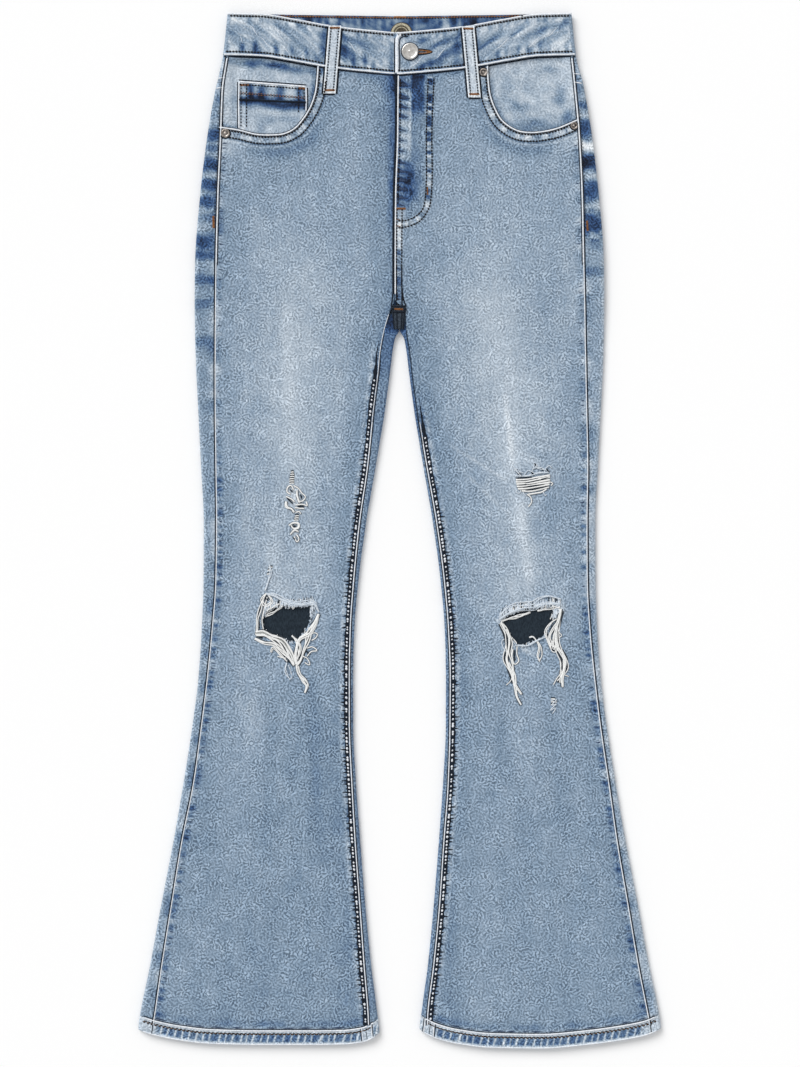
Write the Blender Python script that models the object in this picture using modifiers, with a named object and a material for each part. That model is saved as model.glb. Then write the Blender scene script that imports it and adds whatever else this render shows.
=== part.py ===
"""Ripped flare jeans, laid flat and face up, at their real size.

Blender units are metres, +Z is up. The waist points to +Y and the wearer's right side is at -X. The
back of the jeans rests on Z = 0, and the origin lies on that plane under the middle of the outline.

Every size below is in millimetres. A place on the garment is given as on a paper pattern: its
distance from the centre line, and its distance down from the top edge of the waist. The cloth is
drawn as its middle surface and gets its thickness from a Solidify modifier.
"""

import math

import bpy
import bmesh

MM = 0.001

# ---- driving sizes, in millimetres ------------------------------------------------------------
LENGTH = 1076.4  # waist edge to the lowest point of the hems
CLOTH = 1.2  # stretch denim, with its finish
GAP = 0.3  # kept between neighbouring pieces
STRIP_MIN = 0.3  # the least flat strip beside a fold
SEAM = 0.4  # kept between two panels along a seam
LAYER = CLOTH + GAP  # one piece laid on another

BAND_HEIGHT = 43.0
BAND_CLOTH = 2.0
BAND_OUTER = 8.2  # top of the front waistband above the table
UNDERLAP_DROP = 1.3  # the band's right end dives under
LAP_RISE = 1.0  # and its left end climbs over
LAP_END = -4.0  # X of the left end, just past the centre
UNDERLAP_END = 35.0  # X of the hidden right end

HEM_HEIGHT = 15.0
HEM_CLOTH = 2.2

CROTCH_TOP = 290.0  # the back panels start to turn up between the legs here
CROTCH_END = 322.0  # and have reached the top side here

LOOP_WIDTH = 13.0
LOOP_CLOTH = 1.4
TRIM_CLOTH = 1.2  # pockets and loops that lie between the back and the table


class Sizes:
    """A short table with named columns. The first column is the station it is read at."""

    def __init__(self, names, rows):
        self.names = names
        self.rows = rows

    def at(self, name, station):
        """The named column at a station, on a smooth curve that never overshoots its rows."""
        index = self.names.index(name)
        xs = [row[0] for row in self.rows]
        ys = [row[index] for row in self.rows]
        if station <= xs[0]:
            return ys[0]
        if station >= xs[-1]:
            return ys[-1]
        i = max(k for k in range(len(xs) - 1) if xs[k] <= station)
        step = xs[i + 1] - xs[i]
        rise = (ys[i + 1] - ys[i]) / step
        before = (ys[i] - ys[i - 1]) / (xs[i] - xs[i - 1]) if i > 0 else rise
        after = (ys[i + 2] - ys[i + 1]) / (xs[i + 2] - xs[i + 1]) if i + 2 < len(xs) else rise
        start = harmonic(before, rise)
        end = harmonic(rise, after)
        t = (station - xs[i]) / step
        return (
            ys[i] * (1 + 2 * t) * (1 - t) ** 2
            + start * step * t * (1 - t) ** 2
            + ys[i + 1] * t * t * (3 - 2 * t)
            + end * step * t * t * (t - 1)
        )


def harmonic(a, b):
    """The slope at a row between two stretches: none where they turn back."""
    return 0.0 if a * b <= 0 else 2 * a * b / (a + b)


# Half-widths from the centre line. The front panel lies between outseam and inseam; the back panel
# shows outside them. Above the crotch the inseam column is the centre front seam.
LEG = Sizes(
    ("down", "side", "outseam_right", "outseam_left", "inner", "inseam_right", "inseam_left"),
    (
        (0, 178.9, 174, 174, 0.2, 1.5, -1.5),
        (45, 183.9, 179.4, 179.4, 0.2, 1.5, -1.5),
        (80, 191.7, 184.6, 183.1, 0.2, 2.0, -2.0),
        (130, 200.4, 186.5, 187.5, 0.2, 2.5, -2.5),
        (190, 207.6, 189.2, 190.4, 0.2, 4.5, -4.5),
        (260, 212.8, 191.0, 191.8, 0.2, 5.0, -5.0),
        (297, 213.2, 191.4, 192.6, 0.2, 5.0, -5.0),
        (309, 213.2, 191.5, 192.9, 0.2, 9.5, 5.5),
        (328, 212.9, 191.7, 193.2, 0.2, 15.3, 7.0),
        (338, 212.7, 191.8, 193.3, 4.7, 17.5, 8.6),
        (350, 212.4, 191.8, 193.6, 7.0, 19.8, 10.8),
        (370, 211.7, 191.9, 194.0, 9.5, 21.5, 13.0),
        (410, 209.7, 191.8, 194.8, 14.8, 26.5, 18.3),
        (470, 206.7, 191.1, 196.0, 24.6, 32.8, 28.1),
        (530, 203.8, 190.4, 195.2, 34.8, 41.4, 38.5),
        (590, 204.1, 191.2, 195.5, 42.7, 47.4, 46.4),
        (640, 205.9, 194.9, 198.2, 47.0, 50.9, 50.7),
        (690, 209.3, 199.9, 203.0, 48.3, 51.9, 52.5),
        (740, 215.5, 206.0, 209.0, 48.2, 51.8, 52.2),
        (800, 224.8, 214.3, 217.8, 45.3, 49.3, 50.4),
        (860, 235.1, 226.3, 226.3, 41.0, 45.9, 46.0),
        (930, 248.6, 237.8, 238.3, 35.4, 40.8, 41.2),
        (990, 259.6, 247.4, 248.5, 29.5, 36.5, 35.3),
        (1045, 270.6, 255.3, 259.3, 22.1, 32.1, 28.9),
        (1057, 272.0, 257.4, 261.6, 20.8, 31.7, 28.6),
    ),
)

# How high the laid cloth stands: the back's lift off the table, the outer side of the front at the
# folded edges, and how much higher it bulges in the middle of each leg.
LEVELS = Sizes(
    ("down", "lift", "height", "crown"),
    (
        (0, 1.6, 7.6, 0.0),
        (60, 1.6, 7.6, 0.0),
        (200, 1.6, 7.4, 0.3),
        (285, 1.6, 7.2, 0.4),
        (345, 0.0, 5.6, 0.5),
        (460, 0.0, 5.4, 0.8),
        (980, 0.0, 5.5, 0.8),
        (1050, 0.0, 6.6, 0.3),
        (1080, 0.0, 6.6, 0.3),
    ),
)

# The curved waistband: its top edge at the front and at the back, by share of the half-width.
WAIST = Sizes(
    ("share", "front_top", "back_top"),
    (
        (0.0, 20.3, 2.5),
        (0.2, 17.2, 2.0),
        (0.4, 13.0, 1.5),
        (0.6, 6.4, 1.0),
        (0.8, 1.0, 0.3),
        (1.0, 0.0, 0.0),
    ),
)

# The lower edge of each hem, by share of the leg's width from its outer to its inner edge.
HEM = Sizes(
    ("share", "right", "left"),
    (
        (0.0, 1057.2, 1056.2),
        (0.07, 1062.6, 1063.0),
        (0.17, 1067.6, 1067.8),
        (0.3, 1071.2, 1072.2),
        (0.5, 1072.4, 1076.2),
        (0.7, 1072.4, 1075.4),
        (0.85, 1072.0, 1071.0),
        (0.95, 1068.4, 1064.0),
        (1.0, 1060.8, 1057.0),
    ),
)

# The back yoke's lower seam: at the side, and where it dips at the centre back.
YOKE_SIDE = {"right": 72.0, "left": 68.0}
YOKE_CENTRE = 108.0

# The broad soft folds of the flat leg, as troughs along its length.
FOLDS = (
    # leg, distance from the centre at the top and bottom, start, end, half-width, depth
    ("right", 120, 122, 690, 1010, 14, 0.5),
    ("right", 165, 178, 700, 1040, 16, 0.6),
    ("right", 85, 70, 760, 1030, 14, 0.5),
    ("left", 118, 112, 700, 1000, 15, 0.5),
    ("left", 160, 182, 690, 1040, 16, 0.6),
    ("left", 88, 78, 740, 1030, 14, 0.5),
    ("left", 118, 148, 655, 672, 11, 0.5),
)

# The mouth of each front pocket, from the waist seam round to the outseam.
MOUTH = {
    "right": (
        (84.5, 40), (86, 66), (93.5, 98), (109, 119), (133, 126), (165.9, 121.2), (190, 117.5),
        (215, 112), (215, 34),
    ),
    "left": (
        (92, 40), (92.8, 70), (100, 99.5), (114, 117), (136, 123.5), (161, 120), (186, 110),
        (215, 98), (215, 34),
    ),
}

# The open part of each knee rip.
KNEE_RIP = {
    "right": ((124, 617), (91, 616), (96, 638), (111.8, 653.6), (141, 641), (139, 622)),
    "left": ((106, 630), (141, 618.5), (166, 617), (153, 643), (122, 656.5), (112, 641)),
}

# The reach of the torn threads that lie on the cloth.
FRAY = {
    "fray_knee_right": (
        (84, 614), (88, 636), (98, 652), (99, 668), (94, 684), (98, 706), (106, 704), (110, 680),
        (124, 664), (140, 655), (150, 640), (149, 618), (144, 615), (143, 643), (124, 654),
        (110, 657), (98, 649), (90, 636), (88, 615),
    ),
    "fray_knee_left": (
        (104, 631), (110, 646), (109, 660), (108, 672), (122, 716), (127, 716), (119, 676),
        (120, 662), (140, 661), (156, 656), (168, 678), (172, 700), (177, 698), (176, 672),
        (162, 645), (169, 622), (165, 624), (154, 646), (146, 655), (121, 659), (111, 643),
    ),
    "fray_thigh_right": (
        (109, 475), (116, 475), (117, 490), (121, 496), (119, 512), (112, 520), (117, 530),
        (114, 549), (104, 549), (102, 530), (105, 520), (96, 512), (97, 497), (109, 490),
    ),
    "fray_thigh_left": (
        (118, 480), (156, 475), (158, 490), (140, 500), (134, 509), (130, 500), (119, 494),
    ),
}

# Rows of the panels' meshes, closer together where the cloth bends.
YOKE_ROWS = 3
LEG_ROWS = (
    72, 110, 150, 200, 250, 290, 300, 309, 318, 328, 336, 350, 380, 425, 475, 530, 590, 640, 690, 745,
    800, 860, 925, 975, 1010, 1042,
)
FRONT_ROWS = (43.3, 75, 115, 155, 205, 255, 297, 303, 309, 318, 328) + LEG_ROWS[11:]
HEM_JOIN = 1042.0  # the nominal row at which leg and hem meet
HEM_BLEND = 940.0  # rows bend towards the hem's curve from here
WAIST_BLEND = 150.0  # rows have lost the waist's curve here
FRONT_COLUMNS = 10
BACK_COLUMNS = 5
FOLD_STEPS = 4
# Half-widths of the back leg's last columns above the crotch, where they end at the centre seam.
FLAT_END = (14.0, 5.0, 1.6, 1.2, 0.7, SEAM / 2)

CUTTER_DEPTH = 20.0
SIGN = {"right": -1.0, "left": 1.0}


# ---- helpers ----------------------------------------------------------------------------------
def smooth(t):
    """0 below 0, 1 above 1, and an even S between."""
    t = max(0.0, min(1.0, t))
    return t * t * (3 - 2 * t)


def mix(a, b, t):
    return a + (b - a) * t


def place(leg, half, down, height):
    """Pattern sizes to a point in metres."""
    return (SIGN[leg] * half * MM, (LENGTH / 2 - down) * MM, height * MM)


def finish(red, green, blue, roughness=0.9, metallic=0.0):
    """A Principled material for one piece."""
    return {"colour": (red, green, blue, 1.0), "roughness": roughness, "metallic": metallic}


DENIM = finish(0.33, 0.44, 0.60)
DENIM_DARK = finish(0.16, 0.25, 0.42)
DENIM_BAND = finish(0.30, 0.41, 0.58)
BACKING = finish(0.02, 0.03, 0.05)
THREAD = finish(0.76, 0.73, 0.65)
SILVER = finish(0.72, 0.72, 0.72, 0.3, 1.0)
PEWTER = finish(0.45, 0.43, 0.40, 0.4, 1.0)

# ---- small pieces: places by distance from the centre and down --------------------------------
BACK_POCKET = ((28, 128), (166, 120), (168, 262), (98, 290), (30, 268))
FRONT_LOOPS = (
    # leg, half and down of the top end, half and down of the low end
    ("right", 67.0, 13.2, 72.8, 83.7),
    ("left", 71.2, 14.0, 78.0, 87.8),
)
LOOP_ARCH = 0.6
BACK_LOOPS = (
    ("belt_loop_back_right", "right", 120),
    ("belt_loop_back_left", "left", 120),
    ("belt_loop_back_centre", "left", 0),
)
BACK_LOOP_TOP = 3.0
BACK_LOOP_LOW = 62.0

FACING_INSETS = (0, 4, 8, 12, 16, 34, 52, 72, 92, 108)  # in from the outseam
FACING_ROWS = 9
FACING_LOW = 190.0
FACING_SLOPE = 15.0
FACING_DIVE = 90.0
COIN_OUTER = 166.9
COIN_INNER = 97.2
COIN_ROWS = ((71.3, 76.5), (92, 95), (115, 115), (136, 136))  # outer and inner down

FLY_TOP = 65.5
FLY_STRIPS = (
    # name, first and last X, low end, layers below the front
    ("zip", -5, 23, 182, -1, PEWTER),
    ("fly_underlap", -12, 32, 192, -2, DENIM_DARK),
)
BACKINGS = (
    # leg, outer and inner half, top and low down
    ("right", 150, 82, 606, 664),
    ("left", 176, 97, 607, 668),
)
FRAY_CLOTH = 1.0

BUTTON_AT = (10.9, 40.0)
SHANK_RADIUS = 2.6
EYE_RADIUS = 3.2
SLOT_WIDTH = 1.6
SLOT_END = 33.8
RIVETS = (
    ("rivet_right_low", "right", 181.0, 124.8),
    ("rivet_left_top", "left", 87.4, 61.4),
    ("rivet_left_low", "left", 181.5, 117.0),
)
DISC_AT = (2.0, 20.3)
DISC_RADIUS = 11.4
DISC_CLOTH = 0.7


def material(name, look):
    made = bpy.data.materials.new(name)
    made.use_nodes = True
    shader = made.node_tree.nodes["Principled BSDF"]
    shader.inputs["Base Color"].default_value = look["colour"]
    shader.inputs["Roughness"].default_value = look["roughness"]
    shader.inputs["Metallic"].default_value = look["metallic"]
    return made


def add_object(name, mesh, look, collection):
    ob = bpy.data.objects.new(name, mesh)
    collection.objects.link(ob)
    ob.data.materials.append(material(name, look))
    return ob


def surface(name, rows, collection, look, thickness, closed=False):
    """An open sheet through rows of points, thickened evenly to both sides of itself."""
    mesh = bpy.data.meshes.new(name)
    wide = len(rows[0])
    points = [point for row in rows for point in row]
    faces = []
    for r in range(len(rows) - 1):
        for c in range(wide if closed else wide - 1):
            here = r * wide + c
            nxt = r * wide + (c + 1) % wide
            faces.append((here, nxt, nxt + wide, here + wide))
    mesh.from_pydata(points, [], faces)
    mesh.shade_smooth()
    ob = add_object(name, mesh, look, collection)
    wall = ob.modifiers.new("cloth", "SOLIDIFY")
    wall.thickness = thickness * MM
    wall.offset = 0.0
    wall.use_quality_normals = True
    return ob


def outline_curve(name, points, height, thickness, collection, look, kind="POLY"):
    """A flat outline, straight from point to point or a BEZIER through them, as a filled curve."""
    curve = bpy.data.curves.new(name, "CURVE")
    curve.dimensions = "2D"
    curve.fill_mode = "BOTH"
    curve.extrude = thickness * MM / 2
    spline = curve.splines.new(kind)
    if kind == "BEZIER":
        curve.resolution_u = 3
        spline.resolution_u = 3
        spline.bezier_points.add(len(points) - 1)
        for knot, (x, y, _) in zip(spline.bezier_points, points):
            knot.co = (x, y, 0)
            knot.handle_left_type = "AUTO"
            knot.handle_right_type = "AUTO"
    else:
        spline.points.add(len(points) - 1)
        for knot, (x, y, _) in zip(spline.points, points):
            knot.co = (x, y, 0, 1)
    spline.use_cyclic_u = True
    ob = bpy.data.objects.new(name, curve)
    collection.objects.link(ob)
    ob.location.z = (height + thickness / 2) * MM
    ob.data.materials.append(material(name, look))
    return ob


def as_mesh(ob):
    """The curve object as a closed mesh of the same name, with its caps welded."""
    name = ob.name
    graph = bpy.context.evaluated_depsgraph_get()
    mesh = bpy.data.meshes.new_from_object(ob.evaluated_get(graph))
    work = bmesh.new()
    work.from_mesh(mesh)
    bmesh.ops.remove_doubles(work, verts=work.verts, dist=0.00001)
    bmesh.ops.recalc_face_normals(work, faces=work.faces)
    work.to_mesh(mesh)
    work.free()
    made = bpy.data.objects.new(name, mesh)
    made.matrix_world = ob.matrix_world.copy()
    home = ob.users_collection[0]
    bpy.data.objects.remove(ob)
    made.name = name
    home.objects.link(made)
    return made


def cut(ob, cutter):
    """Takes the cutter out of the object."""
    hole = ob.modifiers.new("cut " + cutter.name, "BOOLEAN")
    hole.object = cutter
    hole.operation = "DIFFERENCE"
    hole.solver = "EXACT"
    cutter.hide_render = True
    cutter.display_type = "WIRE"


# ---- the laid-out form ------------------------------------------------------------------------
def fold_trough(leg, half, down):
    """How far the broad folds lower the upper cloth here."""
    depth = 0.0
    for side, top_x, low_x, start, end, width, deep in FOLDS:
        if side != leg:
            continue
        along = (down - start) / (end - start)
        if 0 < along < 1:
            away = (half - mix(top_x, low_x, along)) / width
            depth += deep * math.sin(math.pi * along) ** 0.5 * math.exp(-away * away)
    return depth


def upper_level(leg, half, down, layers=0.0):
    """The middle of the upper cloth above the table, or that many layers above it."""
    turned = smooth((down - CROTCH_TOP) / (CROTCH_END - CROTCH_TOP))
    from_side = LEG.at("side", down) - half
    from_inner = half - LEG.at("inner", down) + (1 - turned) * 120
    bulge = LEVELS.at("crown", down) * smooth(min(from_side, from_inner) / 70)
    trough = fold_trough(leg, half, down)
    return LEVELS.at("height", down) - CLOTH / 2 + bulge - trough + layers * LAYER


def lower_level(down, thickness=CLOTH):
    """The middle of the lower cloth above the table."""
    return LEVELS.at("lift", down) + thickness / 2


def edge_turn(edge, inward, top, bottom, thickness):
    """The round fold at a leg's edge, from the upper cloth down to the lower, as (half, height)."""
    radius = (top - bottom) / 2
    centre = edge + inward * (thickness / 2 + radius)
    turn = []
    for k in range(FOLD_STEPS + 1):
        angle = math.pi * k / FOLD_STEPS
        turn.append((centre - inward * radius * math.sin(angle), bottom + radius * (1 + math.cos(angle))))
    return turn


def fold_ends(leg, nominal, thickness=CLOTH):
    """The two edge folds of a leg's tube at a row: outer, then inner, each from the top down."""
    top = LEVELS.at("height", nominal) - thickness / 2
    bottom = LEVELS.at("lift", nominal) + thickness / 2
    outer = edge_turn(LEG.at("side", nominal), -1, top, bottom, thickness)
    inner = edge_turn(LEG.at("inner", nominal), 1, top, bottom, thickness)
    return outer, inner


def back_section(leg, nominal):
    """The back leg's section at a row, from the outseam round to the inseam or centre back."""
    outer, inner = fold_ends(leg, nominal)
    outseam = LEG.at("outseam_" + leg, nominal) + SEAM / 2
    inseam = LEG.at("inseam_" + leg, nominal) - SEAM / 2
    top = outer[0][1]
    low = outer[-1][1]
    turned = smooth((nominal - CROTCH_TOP) / (CROTCH_END - CROTCH_TOP))
    strip = [(outseam, upper_level(leg, outseam, nominal)), (mix(outseam, outer[0][0], 0.5), top)]
    wrapped = list(reversed(inner)) + [(max(inseam, inner[0][0] + STRIP_MIN), top)]
    end = [
        (mix(half, point[0], turned), mix(low, point[1], turned))
        for half, point in zip(FLAT_END, wrapped)
    ]
    between = [
        (mix(outer[-1][0], end[0][0], k / BACK_COLUMNS), low) for k in range(1, BACK_COLUMNS)
    ]
    return strip + outer + between + end


def share_across(leg, half, nominal):
    """0 at the leg's outer edge, 1 at its inner edge."""
    side = LEG.at("side", nominal)
    inner = LEG.at("inner", nominal)
    return max(0.0, min(1.0, (side - half) / (side - inner)))


def bent_down(leg, half, nominal, upper):
    """The real distance down of a row, which follows the waist's, yoke's and hem's curves."""
    if nominal >= HEM_BLEND:
        share = share_across(leg, half, nominal)
        seam = HEM.at(leg, share) - HEM_HEIGHT - GAP / 2
        along = (nominal - HEM_BLEND) / (HEM_JOIN - HEM_BLEND)
        return nominal + (seam - HEM_JOIN) * along * along
    share = min(1.0, abs(half) / LEG.at("side", nominal))
    if upper:
        seam = WAIST.at("front_top", share)
        return nominal + seam * (1 - smooth((nominal - BAND_HEIGHT) / (WAIST_BLEND - BAND_HEIGHT)))
    drop = (YOKE_CENTRE - YOKE_SIDE[leg]) * (1 - share) + YOKE_SIDE[leg] - LEG_ROWS[0]
    return nominal + drop * (1 - smooth((nominal - LEG_ROWS[0]) / 120))


def front_legs(jeans, cutters):
    for leg in ("right", "left"):
        rows = []
        for nominal in FRONT_ROWS:
            outseam = LEG.at("outseam_" + leg, nominal) - SEAM / 2
            inseam = LEG.at("inseam_" + leg, nominal) + SEAM / 2
            if nominal > CROTCH_END:
                inseam = max(inseam, fold_ends(leg, nominal)[1][0][0] + STRIP_MIN + SEAM)
            row = []
            for k in range(FRONT_COLUMNS + 1):
                half = mix(outseam, inseam, k / FRONT_COLUMNS)
                down = bent_down(leg, half, nominal, True)
                row.append(place(leg, half, down, upper_level(leg, half, nominal)))
            rows.append(row)
        if leg == "left":
            rows = [row[::-1] for row in rows]
        front = surface("front_leg_" + leg, rows, jeans, DENIM, CLOTH)
        for name, outline in (("mouth_cutter_", MOUTH[leg]), ("rip_cutter_", KNEE_RIP[leg])):
            corners = [place(leg, half, down, 0) for half, down in outline]
            cutter = outline_curve(name + leg, corners, 0, CUTTER_DEPTH, cutters, DENIM, "BEZIER")
            cut(front, as_mesh(cutter))


def back_legs(jeans):
    for leg in ("right", "left"):
        rows = []
        for nominal in LEG_ROWS:
            row = []
            for half, height in back_section(leg, nominal):
                row.append(place(leg, half, bent_down(leg, half, nominal, False), height))
            rows.append(row if leg == "right" else row[::-1])
        surface("back_leg_" + leg, rows, jeans, DENIM_DARK, CLOTH)


def back_yokes(jeans):
    for leg in ("right", "left"):
        rows = []
        for r in range(YOKE_ROWS + 1):
            nominal = mix(BAND_HEIGHT + GAP, LEG_ROWS[0] - GAP, r / YOKE_ROWS)
            row = []
            for half, height in back_section(leg, nominal):
                share = min(1.0, abs(half) / LEG.at("side", nominal))
                start = BAND_HEIGHT + GAP + WAIST.at("back_top", share)
                end = bent_down(leg, half, LEG_ROWS[0], False) - SEAM
                row.append(place(leg, half, mix(start, end, r / YOKE_ROWS), height))
            rows.append(row if leg == "right" else row[::-1])
        surface("back_yoke_" + leg, rows, jeans, DENIM_DARK, CLOTH)


def hems(jeans):
    """The turned-up leg ends: a closed ring each, thicker than the leg and with its columns."""
    for leg in ("right", "left"):
        rows = []
        for part in (0.0, 0.5, 1.0):
            nominal = mix(HEM_JOIN, 1057.0, part)
            outer, inner = fold_ends(leg, nominal, HEM_CLOTH)
            top = outer[0][1]
            low = outer[-1][1]
            outseam = LEG.at("outseam_" + leg, nominal)
            inseam = max(LEG.at("inseam_" + leg, nominal), inner[0][0] + STRIP_MIN)
            under = [mix(outer[-1][0], inner[-1][0], k / BACK_COLUMNS) for k in range(1, BACK_COLUMNS)]
            over = [mix(inseam, outseam, k / FRONT_COLUMNS) for k in range(FRONT_COLUMNS + 1)]
            over.append(mix(outseam, outer[0][0], 0.5))
            ring = outer + [(half, low) for half in under] + inner[::-1]
            ring += [(half, upper_level(leg, half, nominal) - (HEM_CLOTH - CLOTH) / 2) for half in over]
            row = []
            for half, height in ring:
                low_edge = HEM.at(leg, share_across(leg, half, nominal))
                row.append(place(leg, half, low_edge - (1 - part) * (HEM_HEIGHT - GAP), height))
            rows.append(row if leg == "right" else row[::-1])
        surface("hem_" + leg, rows, jeans, DENIM, HEM_CLOTH, closed=True)


def waistband(jeans, cutters):
    """One band: hidden right end, right front, round the back, left front, and its lapping end."""
    top = BAND_OUTER - BAND_CLOTH / 2
    rows = []
    for part in (0.0, 0.5, 1.0):
        nominal = part * BAND_HEIGHT
        side = LEG.at("side", nominal)
        low = lower_level(nominal, BAND_CLOTH)
        turn = edge_turn(side, -1, top, low, BAND_CLOTH)
        reach = turn[0][0]
        row = []
        for k in range(FRONT_COLUMNS):
            x = mix(UNDERLAP_END, -reach, k / FRONT_COLUMNS)
            row.append((x, top - UNDERLAP_DROP * smooth((x + 45) / 40), "front_top"))
        row += [(-half, height, "side") for half, height in turn]
        row += [(mix(-reach, reach, k / 8), low, "back_top") for k in range(1, 8)]
        row += [(half, height, "side") for half, height in turn[::-1]]
        for k in range(1, FRONT_COLUMNS + 1):
            x = mix(reach, LAP_END, k / FRONT_COLUMNS)
            row.append((x, top + LAP_RISE * smooth((70 - x) / 35), "front_top"))
        points = []
        for x, height, kind in row:
            share = min(1.0, abs(x) / side)
            edge = 0.0 if kind == "side" else WAIST.at(kind, share)
            points.append(place("left", x, edge + nominal, height))
        rows.append(points)
    band = surface("waistband", rows, jeans, DENIM_BAND, BAND_CLOTH)
    x, down = BUTTON_AT
    eye = []
    opening = math.asin(SLOT_WIDTH / 2 / EYE_RADIUS)
    for k in range(13):
        angle = mix(opening, 2 * math.pi - opening, k / 12)
        eye.append((x + EYE_RADIUS * math.cos(angle), down + EYE_RADIUS * math.sin(angle)))
    eye += [(SLOT_END, down - SLOT_WIDTH / 2), (SLOT_END, down + SLOT_WIDTH / 2)]
    outline = [place("left", half, y, 0) for half, y in eye]
    bottom = BAND_OUTER + LAP_RISE - BAND_CLOTH - GAP / 2
    cutter = outline_curve("keyhole_cutter", outline, bottom, 6, cutters, DENIM)
    cut(band, as_mesh(cutter))


def strip(name, leg, path, width, jeans, look, thickness):
    """A flat strip of cloth along a path of (half, down, height) points."""
    rows = []
    for half, down, height in path:
        ends = (half + width / 2, half, half - width / 2)
        row = [place(leg, end, down, height) for end in ends]
        rows.append(row if leg == "right" else row[::-1])
    surface(name, rows, jeans, look, thickness)


def belt_loops(jeans):
    over_band = BAND_OUTER + GAP + LOOP_CLOTH / 2
    for leg, top_half, top_down, low_half, low_down in FRONT_LOOPS:
        seam = WAIST.at("front_top", top_half / LEG.at("side", 20)) + BAND_HEIGHT
        end = upper_level(leg, low_half, low_down) + CLOTH / 2 + GAP + LOOP_CLOTH / 2
        path = []
        for down, height in (
            (top_down, over_band),
            (top_down + 8, over_band + 0.1),
            (top_down + 22, over_band + LOOP_ARCH),
            (seam - 6, over_band + LOOP_ARCH / 2),
            (seam + 4, over_band + 0.1),
            (seam + 12, end + 0.1),
            (low_down, end),
        ):
            along = (down - top_down) / (low_down - top_down)
            path.append((mix(top_half, low_half, along), down, height))
        strip("belt_loop_front_" + leg, leg, path, LOOP_WIDTH, jeans, DENIM, LOOP_CLOTH)
    for name, leg, half in BACK_LOOPS:
        corners = ((-1, BACK_LOOP_TOP), (1, BACK_LOOP_TOP), (1, BACK_LOOP_LOW), (-1, BACK_LOOP_LOW))
        outline = [place(leg, half + s * LOOP_WIDTH / 2, down, 0) for s, down in corners]
        outline_curve(name, outline, 0, TRIM_CLOTH, jeans, DENIM)


def patch(name, leg, columns, rows_down, layers, jeans, look, thickness=CLOTH):
    """A flat piece under the upper cloth, on its form, by a grid of half-widths and downs."""
    rows = []
    for downs in rows_down:
        row = []
        for k, half in enumerate(columns):
            down = mix(downs[0], downs[1], k / (len(columns) - 1))
            row.append(place(leg, half, down, upper_level(leg, half, down, layers)))
        rows.append(row if leg == "right" else row[::-1])
    surface(name, rows, jeans, look, thickness)


def pockets(jeans):
    for leg in ("right", "left"):
        rows = []
        for k in range(FACING_ROWS + 1):
            row = []
            for inset in FACING_INSETS:
                nominal = mix(BAND_HEIGHT, FACING_LOW, k / FACING_ROWS)
                half = LEG.at("outseam_" + leg, nominal) - SEAM - inset
                seam = WAIST.at("front_top", half / LEG.at("side", nominal)) + BAND_HEIGHT + GAP
                down = mix(seam, FACING_LOW, k / FACING_ROWS)
                # it leaves the outseam level with the strip beside it, and dives under the front
                inward = 2 * smooth(inset / FACING_SLOPE)
                below = smooth((down - FACING_DIVE) / FACING_SLOPE)
                layers = -max(inward, below)
                row.append(place(leg, half, down, upper_level(leg, half, down, layers)))
            rows.append(row if leg == "right" else row[::-1])
        surface("pocket_facing_" + leg, rows, jeans, DENIM, CLOTH)
        outline = [place(leg, half, down, 0) for half, down in BACK_POCKET]
        outline_curve("back_pocket_" + leg, outline, 0, TRIM_CLOTH, jeans, DENIM_DARK)
    columns = [mix(COIN_OUTER, COIN_INNER, k / 4) for k in range(5)]
    patch("coin_pocket", "right", columns, COIN_ROWS, -1, jeans, DENIM)


def fly(jeans):
    """The closed zip under the fly, and the underlap behind it."""
    for name, first, last, low, layers, look in FLY_STRIPS:
        columns = [mix(first, last, k / 2) for k in range(3)]
        rows = [(mix(FLY_TOP, low, k / 5),) * 2 for k in range(6)]
        patch(name, "left", columns, rows, layers, jeans, look)


def knee_backings(jeans):
    for leg, outer, inner, top, low in BACKINGS:
        columns = [mix(outer, inner, k / 5) for k in range(6)]
        rows = [(mix(top, low, k / 3),) * 2 for k in range(4)]
        patch("knee_backing_" + leg, leg, columns, rows, -1, jeans, BACKING)


def fray(jeans):
    """Plain slabs with the outline of the threads' reach, just clear of the cloth below."""
    for name, points in FRAY.items():
        leg = name.split("_")[-1]
        high = max(upper_level(leg, half, down) for half, down in points) + CLOTH / 2 + GAP
        outline = [place(leg, half, down, 0) for half, down in points]
        outline_curve(name, outline, high, FRAY_CLOTH, jeans, THREAD)


def turned(name, profile, at, steps, jeans, look):
    """A round metal piece. Its profile of (radius, height) runs from the top's centre outward and down."""
    mesh = bpy.data.meshes.new(name)
    points = [(radius * MM, 0, height * MM) for radius, height in profile]
    mesh.from_pydata(points, [(k, k + 1) for k in range(len(points) - 1)], [])
    ob = add_object(name, mesh, look, jeans)
    ob.location = at
    spin = ob.modifiers.new("turn", "SCREW")
    spin.steps = steps
    spin.render_steps = steps
    spin.use_merge_vertices = True
    spin.merge_threshold = 0.00001


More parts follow.
